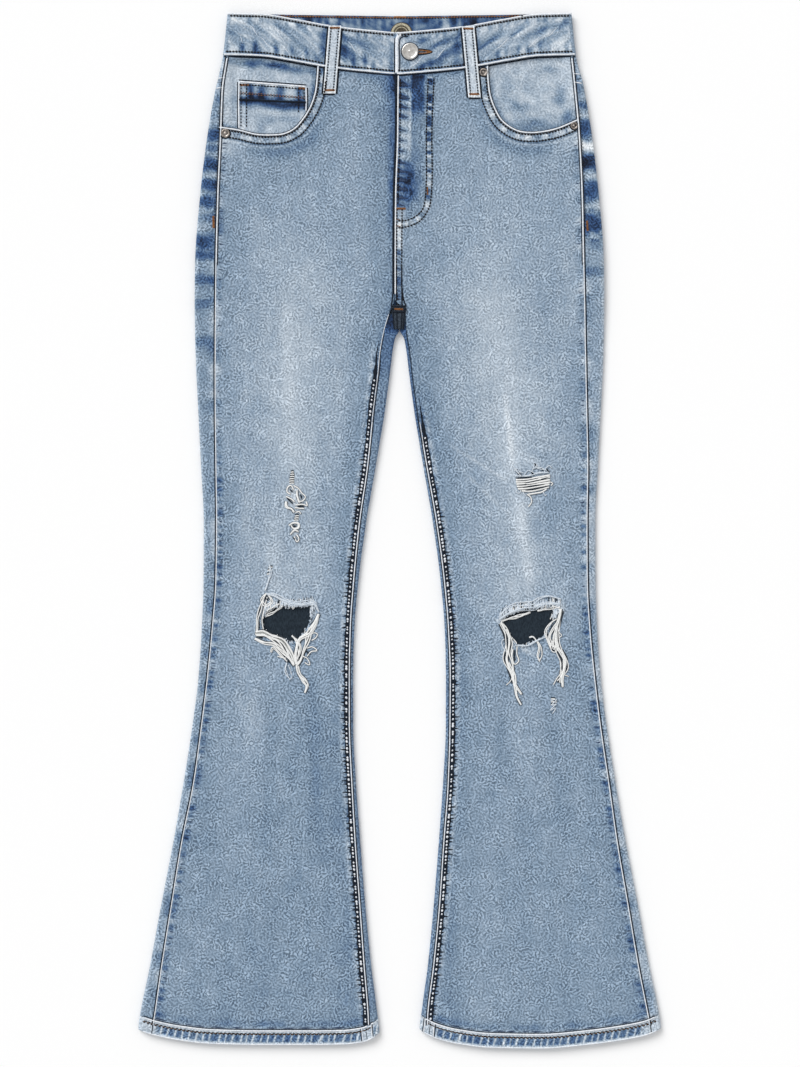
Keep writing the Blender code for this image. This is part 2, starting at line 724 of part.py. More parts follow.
def metal_trim(jeans):
    x, down = BUTTON_AT
    base = BAND_OUTER + LAP_RISE + GAP
    shank_low = BAND_OUTER - UNDERLAP_DROP + GAP - base
    profile = (
        (0, 1.7), (0.9, 1.7), (1.3, 2.0), (6.4, 2.0), (7.4, 2.5), (8.4, 2.0),
        (8.75, 1.0), (8.2, 0), (SHANK_RADIUS, 0), (SHANK_RADIUS, shank_low), (0, shank_low),
    )
    turned("waist_button", profile, place("left", x, down, base), 24, jeans, SILVER)
    dome = ((0, 0.7), (1.5, 0.7), (2.0, 1.1), (3.4, 1.1), (4.5, 0.4), (4.5, 0), (0, 0))
    for name, leg, half, down in RIVETS:
        seat = upper_level(leg, half, down) + CLOTH / 2 + GAP
        turned(name, dome, place(leg, half, down, seat), 16, jeans, PEWTER)
    disc = ((0, DISC_CLOTH), (DISC_RADIUS, DISC_CLOTH), (DISC_RADIUS, 0), (0, 0))
    seat = LEVELS.at("lift", 0) + BAND_CLOTH + GAP
    turned("waist_disc", disc, place("left", DISC_AT[0], DISC_AT[1], seat), 32, jeans, BACKING)


def main():
    for ob in list(bpy.data.objects):
        bpy.data.objects.remove(ob)
    jeans = bpy.data.collections.new("ripped_flare_jeans")
    cutters = bpy.data.collections.new("cutters")
    bpy.context.scene.collection.children.link(jeans)
    bpy.context.scene.collection.children.link(cutters)
    front_legs(jeans, cutters)
    back_legs(jeans)
    back_yokes(jeans)
    hems(jeans)
    waistband(jeans, cutters)
    belt_loops(jeans)
    pockets(jeans)
    fly(jeans)
    knee_backings(jeans)
    fray(jeans)
    metal_trim(jeans)


main()
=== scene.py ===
# %% [markdown]
# # Ripped flare jeans, laid flat and face up
# The imported model holds the jeans' real sizes as plain solids. This script dresses them: thin cloth
# shells on the same forms, with seams, stitches, rips and wear, and a material for every surface.
# The first cell loads that fixed frame and keeps its box, which the last cell lists beside the looks' box.

# %% Load the frame
import math

import bpy
import numpy as np
from mathutils.bvhtree import BVHTree
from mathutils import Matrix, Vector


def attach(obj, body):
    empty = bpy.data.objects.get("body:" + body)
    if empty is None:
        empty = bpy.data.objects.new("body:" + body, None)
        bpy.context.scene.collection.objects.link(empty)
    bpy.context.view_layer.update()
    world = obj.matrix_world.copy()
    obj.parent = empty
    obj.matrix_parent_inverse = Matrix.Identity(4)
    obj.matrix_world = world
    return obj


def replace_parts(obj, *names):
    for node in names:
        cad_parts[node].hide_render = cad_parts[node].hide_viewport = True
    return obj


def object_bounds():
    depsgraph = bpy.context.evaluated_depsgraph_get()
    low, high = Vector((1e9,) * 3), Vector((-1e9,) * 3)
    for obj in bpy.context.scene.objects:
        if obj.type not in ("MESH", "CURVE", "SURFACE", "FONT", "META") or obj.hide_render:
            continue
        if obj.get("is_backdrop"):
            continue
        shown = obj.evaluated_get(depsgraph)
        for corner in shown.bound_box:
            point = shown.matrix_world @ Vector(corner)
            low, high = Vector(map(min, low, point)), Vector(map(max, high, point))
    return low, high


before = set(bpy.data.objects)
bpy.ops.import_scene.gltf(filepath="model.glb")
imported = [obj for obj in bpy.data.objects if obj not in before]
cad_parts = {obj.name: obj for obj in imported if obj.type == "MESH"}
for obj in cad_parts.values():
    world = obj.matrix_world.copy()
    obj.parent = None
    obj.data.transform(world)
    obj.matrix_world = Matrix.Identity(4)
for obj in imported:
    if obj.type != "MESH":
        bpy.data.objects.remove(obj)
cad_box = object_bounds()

MM = 0.001
print("nodes in the frame:", len(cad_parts))

# %% [markdown]
# ## Places on the garment
# A place is given as on a paper pattern: how far it is from the centre line, and how far down from
# the waist's top edge, both in millimetres. Short tables give the leg's edges, its seams and its
# height at a few stations. They are the part's own sizes, repeated here.


# %% The smooth tables
class Sizes:
    """A short table with named columns, read on a smooth curve that never overshoots its rows."""

    def __init__(self, names, rows):
        self.columns = dict(zip(names, np.array(rows, float).T))
        self.stations = self.columns[names[0]]

    def at(self, name, station):
        x, y = self.stations, self.columns[name]
        station = np.clip(station, x[0], x[-1])
        rise = np.diff(y) / np.diff(x)
        same_way = rise[:-1] * rise[1:] > 0
        total = np.where(same_way, rise[:-1] + rise[1:], 1.0)
        turn = np.where(same_way, 2 * rise[:-1] * rise[1:] / total, 0.0)
        slope = np.concatenate((rise[:1], turn, rise[-1:]))
        i = np.clip(np.searchsorted(x, station, side="right") - 1, 0, len(x) - 2)
        step = x[i + 1] - x[i]
        t = (station - x[i]) / step
        start = y[i] * (1 + 2 * t) * (1 - t) ** 2 + slope[i] * step * t * (1 - t) ** 2
        return start + y[i + 1] * t * t * (3 - 2 * t) + slope[i + 1] * step * t * t * (t - 1)


print("a table read at 1.5:", Sizes(("x", "y"), ((0, 0), (1, 1), (2, 4))).at("y", 1.5))

# %% The part's own sizes
LENGTH = 1076.4
CLOTH = 1.2
SEAM = 0.4
GAP = 0.3
LAYER = CLOTH + GAP
BAND_HEIGHT = 43.0
BAND_CLOTH = 2.0
BAND_OUTER = 8.2
HEM_HEIGHT = 15.0
HEM_CLOTH = 2.2
CROTCH_TOP = 290.0
CROTCH_END = 322.0
SIGN = {"right": -1.0, "left": 1.0}

LEG = Sizes(("down", "side", "outseam_right", "outseam_left", "inner", "inseam_right", "inseam_left"), (
    (0, 178.9, 174, 174, 0.2, 1.5, -1.5), (45, 183.9, 179.4, 179.4, 0.2, 1.5, -1.5),
    (80, 191.7, 184.6, 183.1, 0.2, 2, -2), (130, 200.4, 186.5, 187.5, 0.2, 2.5, -2.5),
    (190, 207.6, 189.2, 190.4, 0.2, 4.5, -4.5), (260, 212.8, 191, 191.8, 0.2, 5, -5),
    (297, 213.2, 191.4, 192.6, 0.2, 5, -5), (309, 213.2, 191.5, 192.9, 0.2, 9.5, 5.5),
    (328, 212.9, 191.7, 193.2, 0.2, 15.3, 7), (338, 212.7, 191.8, 193.3, 4.7, 17.5, 8.6),
    (350, 212.4, 191.8, 193.6, 7, 19.8, 10.8), (370, 211.7, 191.9, 194, 9.5, 21.5, 13),
    (410, 209.7, 191.8, 194.8, 14.8, 26.5, 18.3), (470, 206.7, 191.1, 196, 24.6, 32.8, 28.1),
    (530, 203.8, 190.4, 195.2, 34.8, 41.4, 38.5), (590, 204.1, 191.2, 195.5, 42.7, 47.4, 46.4),
    (640, 205.9, 194.9, 198.2, 47, 50.9, 50.7), (690, 209.3, 199.9, 203, 48.3, 51.9, 52.5),
    (740, 215.5, 206, 209, 48.2, 51.8, 52.2), (800, 224.8, 214.3, 217.8, 45.3, 49.3, 50.4),
    (860, 235.1, 226.3, 226.3, 41, 45.9, 46), (930, 248.6, 237.8, 238.3, 35.4, 40.8, 41.2),
    (990, 259.6, 247.4, 248.5, 29.5, 36.5, 35.3), (1045, 270.6, 255.3, 259.3, 22.1, 32.1, 28.9),
    (1057, 272, 257.4, 261.6, 20.8, 31.7, 28.6),
))
LEVELS = Sizes(("down", "lift", "height", "crown"), (
    (0, 1.6, 7.6, 0), (60, 1.6, 7.6, 0), (200, 1.6, 7.4, 0.3), (285, 1.6, 7.2, 0.4), (345, 0, 5.6, 0.5),
    (460, 0, 5.4, 0.8), (980, 0, 5.5, 0.8), (1050, 0, 6.6, 0.3), (1080, 0, 6.6, 0.3),
))
WAIST = Sizes(
    ("share", "front_top", "back_top"),
    ((0, 20.3, 2.5), (0.2, 17.2, 2.0), (0.4, 13, 1.5), (0.6, 6.4, 1.0), (0.8, 1.0, 0.3), (1, 0, 0)),
)
HEM = Sizes(("share", "right", "left"), (
    (0, 1057.2, 1056.2), (0.07, 1062.6, 1063), (0.17, 1067.6, 1067.8), (0.3, 1071.2, 1072.2),
    (0.5, 1072.4, 1076.2), (0.7, 1072.4, 1075.4), (0.85, 1072, 1071), (0.95, 1068.4, 1064),
    (1, 1060.8, 1057),
))
WAIST_HALF = 184.0
LEG_END = 1057.0
print("leg table:", len(LEG.stations), "stations down", LENGTH, "mm")


# %% Small sums that every piece uses
def smooth(t):
    """0 below 0, 1 above 1, and an even S between."""
    t = np.clip(t, 0.0, 1.0)
    return t * t * (3 - 2 * t)


def mix(a, b, t):
    return a + (b - a) * t


def near(away, reach):
    """1 on a line, fading to nothing at about twice the reach."""
    return np.exp(-(np.asarray(away) / reach) ** 2)


def cloud(x, y, seed):
    """Lumpy noise from -1 to 1, about one lump to each unit of x and y."""
    table = np.random.default_rng(seed).uniform(-1, 1, (64, 64))
    x, y = np.broadcast_arrays(np.asarray(x, float), np.asarray(y, float))
    i, j = np.floor(x).astype(int), np.floor(y).astype(int)
    u, v = smooth(x - i), smooth(y - j)
    i, j, i_next, j_next = i % 64, j % 64, (i + 1) % 64, (j + 1) % 64
    low = mix(table[i, j], table[i_next, j], u)
    return mix(low, mix(table[i, j_next], table[i_next, j_next], u), v)


print("a soft step halfway:", smooth(0.5))


# %% Pattern places
def waist_edge(which, x, half_width=WAIST_HALF):
    """How far down the waist's top edge lies at x, in mm: front_top or back_top."""
    return WAIST.at(which, np.minimum(1, np.abs(x) / half_width))


def place(leg, half, down, height):
    """Pattern sizes in millimetres to a point in metres."""
    parts = np.broadcast_arrays(SIGN[leg] * np.asarray(half, float), LENGTH / 2 - down, height)
    return np.stack(parts, -1) * MM


def rows_of(table, leg):
    """The rows of a table that are for one leg, without their first column."""
    return [row[1:] for row in table if row[0] == leg]


def to_segment(x, y, start, end):
    """How far each place is from a straight line between two points, and how far along it."""
    run = np.subtract(end, start)
    along = np.clip(((x - start[0]) * run[0] + (y - start[1]) * run[1]) / (run @ run), 0, 1)
    return np.hypot(x - start[0] - along * run[0], y - start[1] - along * run[1]), along


print("a place in metres:", place("left", 100.0, 500.0, 0.0))


# %% Lines and outlines
class Line:
    """A smooth line through given points, drawn in steps of about a millimetre."""

    def __init__(self, points, closed=False, step=1.0):
        points = np.array(points, float)
        if closed:
            points = np.concatenate((points[-2:], points, points[:3]))
        at = np.concatenate(([0], np.cumsum(np.linalg.norm(np.diff(points, axis=0), axis=1))))
        slope = np.gradient(points, at, axis=0)
        first, last = (at[2], at[-3]) if closed else (at[0], at[-1])
        s = np.linspace(first, last, max(3, int((last - first) / step) + 1))
        i = np.clip(np.searchsorted(at, s, side="right") - 1, 0, len(at) - 2)
        gap = (at[i + 1] - at[i])[:, None]
        t = ((s - at[i]) / gap[:, 0])[:, None]
        self.points = (
            points[i] * (1 + 2 * t) * (1 - t) ** 2
            + slope[i] * gap * t * (1 - t) ** 2
            + points[i + 1] * t * t * (3 - 2 * t)
            + slope[i + 1] * gap * t * t * (t - 1)
        )
        self.along = np.concatenate(
            ([0], np.cumsum(np.linalg.norm(np.diff(self.points, axis=0), axis=1)))
        )

    def nearest(self, x, y):
        """For each place: its distance, the distance along, and the closest point."""
        x, y = np.asarray(x, float), np.asarray(y, float)
        flat = np.stack((x.ravel(), y.ravel()), -1)
        away, index = np.empty(len(flat)), np.empty(len(flat), int)
        for k in range(0, len(flat), 4000):
            gaps = np.linalg.norm(flat[k:k + 4000, None, :] - self.points[None, :, :2], axis=2)
            index[k:k + 4000] = gaps.argmin(1)
            away[k:k + 4000] = gaps.min(1)
        return away.reshape(x.shape), self.along[index].reshape(x.shape), self.points[index]

    def at(self, along):
        """The points at distances along the line."""
        return np.stack([np.interp(along, self.along, column) for column in self.points.T], -1)

    def beside(self, offset):
        """The points of a line that runs that far to one side of this one."""
        run = np.gradient(self.points[:, :2], axis=0)
        run /= np.linalg.norm(run, axis=1)[:, None]
        return self.points[:, :2] + offset * np.stack((-run[:, 1], run[:, 0]), -1)


def within(x, y, outline):
    """True for each place inside a closed outline."""
    inside = np.zeros(np.shape(x), bool)
    for (ax, ay), (bx, by) in zip(outline, np.roll(outline, -1, axis=0)):
        if ay != by:
            crosses = (ay > y) != (by > y)
            inside ^= crosses & (x < (bx - ax) * (y - ay) / (by - ay) + ax)
    return inside


print("length of a line:", Line(((0, 0), (3, 4), (6, 8))).along[-1], "mm")

# %% [markdown]
# ## Light, floor and camera
# The jeans lie on a white table and are seen from straight above, under a big soft light from the
# upper left. A plain white world does most of the lighting, and one broad sun gives the cloth's
# small relief its lit and shaded sides.

# %% The stage
CAMERA_HEIGHT = 3.0
VIEW_TALL = 1.1097  # metres of table that the view is tall
VIEW_CENTRE = (0.0005, -0.0026)
HALF_THICKNESS = 0.006
SENSOR = 24.0
FLOOR_REACH = 2.5
FLOOR_LEVEL = -0.0004  # just below the hems, so the two don't fight for the same height
WORLD_STRENGTH = 0.62
SUN_STRENGTH, SUN_WIDTH, SUN_TILT = 1.9, 35, 38  # watts for each square metre, degrees, degrees
scene = bpy.context.scene
scene.view_settings.view_transform = "Standard"  # so that a hex colour shows as itself
print("the view is", VIEW_TALL, "m tall, from", CAMERA_HEIGHT, "m")


# %% Colours, nodes and materials
def linear(code, alpha=1.0):
    """An sRGB hex colour as linear red, green and blue."""
    parts = [int(code[k:k + 2], 16) / 255 for k in (1, 3, 5)]
    return (*(p / 12.92 if p <= 0.04045 else ((p + 0.055) / 1.055) ** 2.4 for p in parts), alpha)


def feed(made, inputs):
    """Gives a node its inputs, by name or place: a value, a socket, or a node's first output."""
    for key, value in inputs.items():
        if isinstance(value, bpy.types.Node):
            value = next(socket for socket in value.outputs if socket.enabled)
        if isinstance(value, bpy.types.NodeSocket):
            made.id_data.links.new(value, made.inputs[key])
        else:
            made.inputs[key].default_value = value


def node(tree, kind, inputs=None, **settings):
    """Adds a shader node with its settings and inputs."""
    made = tree.nodes.new("ShaderNode" + kind)
    for name, value in settings.items():
        setattr(made, name, value)
    feed(made, inputs or {})
    return made


def material(name, **shader_values):
    """A material, its node tree and its Principled shader with those values."""
    made = bpy.data.materials.new(name)
    made.use_nodes = True
    shader = made.node_tree.nodes["Principled BSDF"]
    feed(shader, {socket.replace("_", " "): value for socket, value in shader_values.items()})
    return made, made.node_tree, shader


def in_mm(tree, scale=(1000, 1000, 1000)):
    """The place on the object, in millimetres or in steps of a pattern."""
    where = node(tree, "TexCoord").outputs["Object"]
    return node(tree, "VectorMath", {0: where, 1: scale}, operation="MULTIPLY")


print("mid grey in linear light:", round(linear("#808080")[0], 4))


# %% Set the stage
def stage():
    white = linear("#ffffff")
    floor_mesh = bpy.data.meshes.new("floor")
    corners = ((-1, -1), (1, -1), (1, 1), (-1, 1))
    floor_mesh.from_pydata([(x * FLOOR_REACH, y * FLOOR_REACH, FLOOR_LEVEL) for x, y in corners],
                           [], [(0, 1, 2, 3)])
    floor = bpy.data.objects.new("floor", floor_mesh)
    scene.collection.objects.link(floor)
    floor_mesh.materials.append(material("white_table", Base_Color=white, Roughness=0.9)[0])
    floor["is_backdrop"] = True
    world = bpy.data.worlds.new("soft_room")
    world.use_nodes = True
    feed(world.node_tree.nodes["Background"], {"Color": white, "Strength": WORLD_STRENGTH})
    scene.world = world
    lamp = bpy.data.lights.new("broad_sun", "SUN")
    lamp.energy = SUN_STRENGTH
    lamp.angle = math.radians(SUN_WIDTH)
    sun = bpy.data.objects.new("broad_sun", lamp)
    sun.rotation_euler = (math.radians(-SUN_TILT), math.radians(-SUN_TILT), 0)
    scene.collection.objects.link(sun)
    lens = bpy.data.cameras.new("from_above")
    lens.sensor_fit = "VERTICAL"
    lens.sensor_height = SENSOR
    lens.lens = SENSOR * CAMERA_HEIGHT / VIEW_TALL
    camera = bpy.data.objects.new("from_above", lens)
    camera.location = (*VIEW_CENTRE, CAMERA_HEIGHT + HALF_THICKNESS)
    scene.collection.objects.link(camera)
    scene.camera = camera


stage()
print("camera", scene.camera.location[:], "lens", round(scene.camera.data.lens, 2))

# %% [markdown]
# ## Washed denim
# Denim is a cotton twill whose warp is dyed with indigo on the outside of each thread. Bleach and
# stone washing take the dye off, most where the cloth stands proud. So one number tells its colour:
# how far it is washed out, from raw indigo to white. The shells carry that number at each point, as
# the attribute "wash", and this material adds what is finer than their points: the curled crinkles
# of the finish, about 1 mm wide and 3 mm apart, slubs in the warp, and the twill.

# %% The denim material
INDIGO = (
    # how far it is washed out, and its colour
    (0.12, "#101a2e"), (0.25, "#24395a"), (0.33, "#36547f"), (0.42, "#4f698b"), (0.50, "#657d99"),
    (0.57, "#7b90a5"), (0.63, "#8c9fb3"), (0.70, "#a3b2c1"), (0.80, "#c2cdd8"), (0.93, "#e8eef3"),
)
print("stops from indigo to white:", len(INDIGO))


# %% Scratches and the denim itself
def scratches(tree, mm, cell, shift):
    """Long thin creases: the edges of bent cells, kept only here and there."""
    moved = node(tree, "VectorMath", {0: mm, 1: (shift, 2.3 * shift, 0)}, operation="ADD")
    warp = node(tree, "TexNoise", {"Vector": moved, "Scale": 0.065, "Detail": 1.0}).outputs["Color"]
    bent = node(tree, "VectorMath", {0: warp, 1: (6, 6, 0), 2: moved}, operation="MULTIPLY_ADD")
    edge = node(tree, "TexVoronoi", {"Vector": bent, "Scale": 1 / cell}, feature="DISTANCE_TO_EDGE",
                voronoi_dimensions="2D")
    line = node(tree, "MapRange", {0: edge, 1: 0.15 / cell, 2: 0.7 / cell, 3: 1.0, 4: 0.0})
    patch = node(tree, "TexNoise", {"Vector": moved, "Scale": 0.09, "Detail": 0.5})
    shown = node(tree, "MapRange", {0: patch, 1: 0.50, 2: 0.57, 3: 0.0, 4: 1.0})
    return node(tree, "Math", {0: line, 1: shown}, operation="MULTIPLY")


def denim(name, crinkle, slub=1.0, mottle=1.0, lined=0.09):
    """Washed indigo denim: a matt cotton twill. The last four scale its patterns."""
    made, tree, shader = material(
        name, Roughness=0.88, IOR=1.5, Specular_IOR_Level=0.25, Sheen_Weight=0.08, Sheen_Roughness=0.5
    )
    wash = node(tree, "Attribute", attribute_name="wash", attribute_type="GEOMETRY").outputs["Fac"]
    mm = in_mm(tree)
    # the crinkle: Gabor noise has one wavelength and no direction, so it makes curled worms, 3.2 mm
    # from one to the next as on the cloth. They are stronger in some patches than in others
    warp = node(tree, "TexNoise", {"Vector": mm, "Scale": 0.30, "Detail": 0.0}).outputs["Color"]
    bent = node(tree, "VectorMath", {0: warp, 1: (3.5, 3.5, 0), 2: mm}, operation="MULTIPLY_ADD")
    worms = node(tree, "TexGabor", {"Vector": bent, "Scale": 0.16, "Frequency": 1.95, "Anisotropy": 0.0},
                 gabor_type="2D")
    worms = node(tree, "MapRange", {0: worms, 1: 0.33, 2: 0.67, 3: -0.5, 4: 0.5},
                 interpolation_type="SMOOTHERSTEP")
    patch = node(tree, "TexNoise", {"Vector": mm, "Scale": 0.10, "Detail": 1.0})
    much = node(tree, "MapRange", {0: patch, 1: 0.38, 2: 0.62, 3: 0.55 * crinkle, 4: 1.1 * crinkle})
    faded = node(tree, "MapRange", {0: wash, 1: 0.56, 2: 0.72, 3: 0.27, 4: 0.17})
    relief = node(tree, "Math", {0: worms, 1: much}, operation="MULTIPLY")
    relief = node(tree, "Math", {0: relief, 1: faded}, operation="MULTIPLY")
    lines = scratches(tree, mm, 15.0, 40.0)
    relief = node(tree, "Math", {0: lines, 1: lined, 2: relief}, operation="MULTIPLY_ADD")
    # slubs: thick places in the warp, so short streaks down the leg
    stretched = node(tree, "VectorMath", {0: mm, 1: (0.75, 0.13, 0.75)}, operation="MULTIPLY")
    slubs = node(tree, "TexNoise", {"Vector": stretched, "Scale": 1.0, "Detail": 1.0})
    # the yarn grain is 0.4 mm on real denim and is drawn at 1.1 mm, the least that shows
    grain = node(tree, "TexNoise", {"Vector": mm, "Scale": 0.9, "Detail": 1.0})
    blots = node(tree, "TexNoise", {"Vector": mm, "Scale": 0.045, "Detail": 2.0})
    total = node(tree, "Math", {0: relief, 1: 0.25, 2: wash}, operation="MULTIPLY_ADD")
    for pattern, amount in ((slubs, 0.10 * slub), (grain, 0.11), (blots, 0.09 * mottle)):
        centred = node(tree, "Math", {0: pattern, 1: 0.5}, operation="SUBTRACT")
        total = node(tree, "Math", {0: centred, 1: amount, 2: total}, operation="MULTIPLY_ADD")
    ramp = node(tree, "ValToRGB", {"Fac": total})
    stops = ramp.color_ramp.elements
    for k, (at, code) in enumerate(INDIGO):
        stop = stops[k] if k < 2 else stops.new(at)
        stop.position = at
        stop.color = linear(code)
    # a crease is a shadow more than a change of dye, so most of it darkens or lightens the colour
    shade = node(tree, "Math", {0: relief, 1: 3.0, 2: 1.0}, operation="MULTIPLY_ADD")
    shaded = node(tree, "VectorMath", {0: ramp, 1: shade}, operation="MULTIPLY")
    # the twill's diagonal ribs are 0.5 mm apart on real denim and are drawn 2 mm apart
    twill = node(tree, "TexWave", {"Vector": mm, "Scale": 0.225, "Distortion": 0.6},
                 bands_direction="DIAGONAL").outputs["Fac"]
    height = node(tree, "Math", {0: relief, 1: 4.0}, operation="MULTIPLY")
    height = node(tree, "Math", {0: twill, 1: 0.10, 2: height}, operation="MULTIPLY_ADD")
    height = node(tree, "Math", {0: grain, 1: 0.35, 2: height}, operation="MULTIPLY_ADD")
    bump = node(tree, "Bump", {"Height": height, "Strength": 0.55, "Distance": 0.00035})
    feed(shader, {"Base Color": shaded, "Normal": bump})
    return made


PANEL_DENIM = denim("bleached_stretch_denim", 1.0)
TRIM_DENIM = denim("denim_trim", 0.66, 0.7, 1.4, 0.07)
INSIDE_DENIM = denim("denim_inside", 0.2, 0.8, 1.2, 0.0)
TRIM = (TRIM_DENIM, INSIDE_DENIM)
print("denim materials:", PANEL_DENIM.name, TRIM_DENIM.name, INSIDE_DENIM.name)


# %% [markdown]
# ## Cotton, metal and lining
# Sewing thread is a polished two-ply cotton, so it has a finer grain and a slight gloss. The torn
# weft is undyed cotton, matt and cream. The button is nickel-plated and brushed, the rivets are
# blackened copper, and the knees are backed with a charcoal jersey.


# %% Their materials
def threaded(name, code, dark_code, size, roughness=0.7, streak=(1, 1, 1)):
    """Cotton yarn of a colour, with a fine fleck in a darker one. size is the fleck's, in mm."""
    made, tree, shader = material(name, Roughness=roughness, Sheen_Weight=0.04, Specular_IOR_Level=0.15)
    flecks = in_mm(tree, [1000 * part / size for part in streak])
    fleck = node(tree, "TexNoise", {"Vector": flecks, "Scale": 1.0, "Detail": 2.0})
    shade = node(tree, "MapRange", {0: fleck, 1: 0.35, 2: 0.65})
    colour = node(tree, "Mix", {0: shade, 6: linear(dark_code), 7: linear(code)}, data_type="RGBA")
    bump = node(tree, "Bump", {"Height": fleck, "Strength": 0.4, "Distance": 0.0002})
    feed(shader, {"Base Color": colour.outputs[2], "Normal": bump})
    return made


def cast_metal(name, code, dark_code, roughness, grain):
    """Plated metal with a blotchy tarnish and so many fine grains to the mm. Its IOR stays."""
    made, tree, shader = material(name, Metallic=1.0, Roughness=roughness)
    mm = in_mm(tree)
    tarnish = node(tree, "TexNoise", {"Vector": mm, "Scale": 0.5, "Detail": 3.0})
    shade = node(tree, "MapRange", {0: tarnish, 1: 0.35, 2: 0.65})
    colour = node(tree, "Mix", {0: shade, 6: linear(dark_code), 7: linear(code)}, data_type="RGBA")
    fine = node(tree, "TexNoise", {"Vector": mm, "Scale": grain, "Detail": 2.0})
    bump = node(tree, "Bump", {"Height": fine, "Strength": 0.25, "Distance": 0.0001})
    feed(shader, {"Base Color": colour.outputs[2], "Normal": bump})
    return made


WEFT = threaded("cream_cotton_weft", "#ffffff", "#e0e2e0", 0.8, 0.9)
BLUE_FRAY = threaded("pale_blue_fray", "#edf2f6", "#a9b9ca", 0.9, 0.9)
WORN_AND_LIT_EDGE = threaded("worn_and_highlit_denim_edge", "#fafcff", "#d3dce7", 1.6, 0.9)
CREASE_SHADE = threaded("unfaded_and_shaded_crease", "#465672", "#2a3750", 1.2, 0.95)
SEAM_END_SHADE = threaded("seam_end_in_painted_shade", "#46505c", "#252c35", 1.0, 0.95)
DARK_THREAD = threaded("dark_brown_thread", "#2a2424", "#111114", 1.0)
# navy overlock thread; the same dark navy draws the painted shadow lines beside seams and round the metal
NAVY_THREAD_AND_SHADOW = threaded("navy_overlock_and_painted_shadow", "#1f2835", "#0e131c", 1.0, 0.9)
DIM_WEFT = threaded("cotton_weft_in_shade", "#b2b4b0", "#868a8a", 0.8, 0.95)
SHADED_YARN = threaded("yarn_in_shade", "#3f4750", "#1d232a", 0.8, 0.95)
LABEL_GROUND = threaded("woven_label_ground", "#6d6455", "#38332d", 0.9, 0.8)
LABEL = threaded("woven_label", "#cdc7b0", "#8d8670", 0.9, 0.8)
RUST_THREAD = threaded("rust_thread", "#a5744b", "#6b4326", 1.0)
# charcoal jersey for the knee backings, also the colour of the painted shadow in gaps between torn threads
JERSEY_AND_GAP_SHADE = threaded("charcoal_jersey_and_gap_shadow", "#2c3741", "#1d262f", 1.1, 0.95, (1, 0.35, 1))
NICKEL = cast_metal("brushed_nickel", "#e6e4e0", "#c9c6c1", 0.32, 2.2)
BLACK_COPPER = cast_metal("aged_copper", "#bfb7b0", "#6c625b", 0.42, 1.5)
print("other materials:", len(bpy.data.materials) - 3)

# %% [markdown]
# ## Thin shells
# A garment piece is a thin shell: an outer skin, an inner skin one cloth thickness below it, and a
# rim that joins them. The outer skin is a grid of points on the solid's form. A hole is cut by
# dropping the grid's faces inside an outline and drawing their last points onto it, which leaves a
# clean edge at any angle to the grid. Numpy does the sums for the whole grid at once.

# %% Grids to shells
cloth_points, cloth_faces = [], []


def grid_faces(rows, columns, around):
    """The corner numbers of each face of a grid, which may close on itself sideways."""
    first = np.arange(rows * columns).reshape(rows, columns)
    beside = np.roll(first, -1, 1)
    if not around:
        first, beside = first[:, :-1], beside[:, :-1]
    corners = (first[:-1], first[1:], beside[1:], beside[:-1])
    return np.stack([c.ravel() for c in corners], -1)


def grid_normals(points, around):
    """The unit normal at each point of a grid."""
    padded = np.concatenate((points[:, -1:], points, points[:, :1]), 1) if around else points
    down = np.gradient(padded, axis=0)
    across = np.gradient(padded, axis=1)
    normal = np.cross(down, across)
    normal = normal[:, 1:-1] if around else normal
    return normal / np.maximum(np.linalg.norm(normal, axis=2), 1e-12)[..., None]


print("faces of a 3 by 4 grid:", len(grid_faces(3, 4, False)))


# %% Points and faces to a shell
def add_object(name, points, faces, finishes, wash=None, face_finish=None):
    """One object from points in metres and its faces' corner numbers."""
    mesh = bpy.data.meshes.new(name)
    used = np.unique(np.concatenate([np.ravel(f) for f in faces])) if len(faces) else []
    number = np.full(len(points), -1)
    number[used] = np.arange(len(used))
    mesh.from_pydata(points[used].tolist(), [], [number[list(face)].tolist() for face in faces])
    mesh.shade_smooth()
    for finish in finishes:
        mesh.materials.append(finish)
    if wash is not None:
        mesh.attributes.new("wash", "FLOAT", "POINT").data.foreach_set("value", wash[used])
    if face_finish is not None:
        mesh.polygons.foreach_set("material_index", face_finish)
    made = bpy.data.objects.new(name, mesh)
    scene.collection.objects.link(made)
    return made


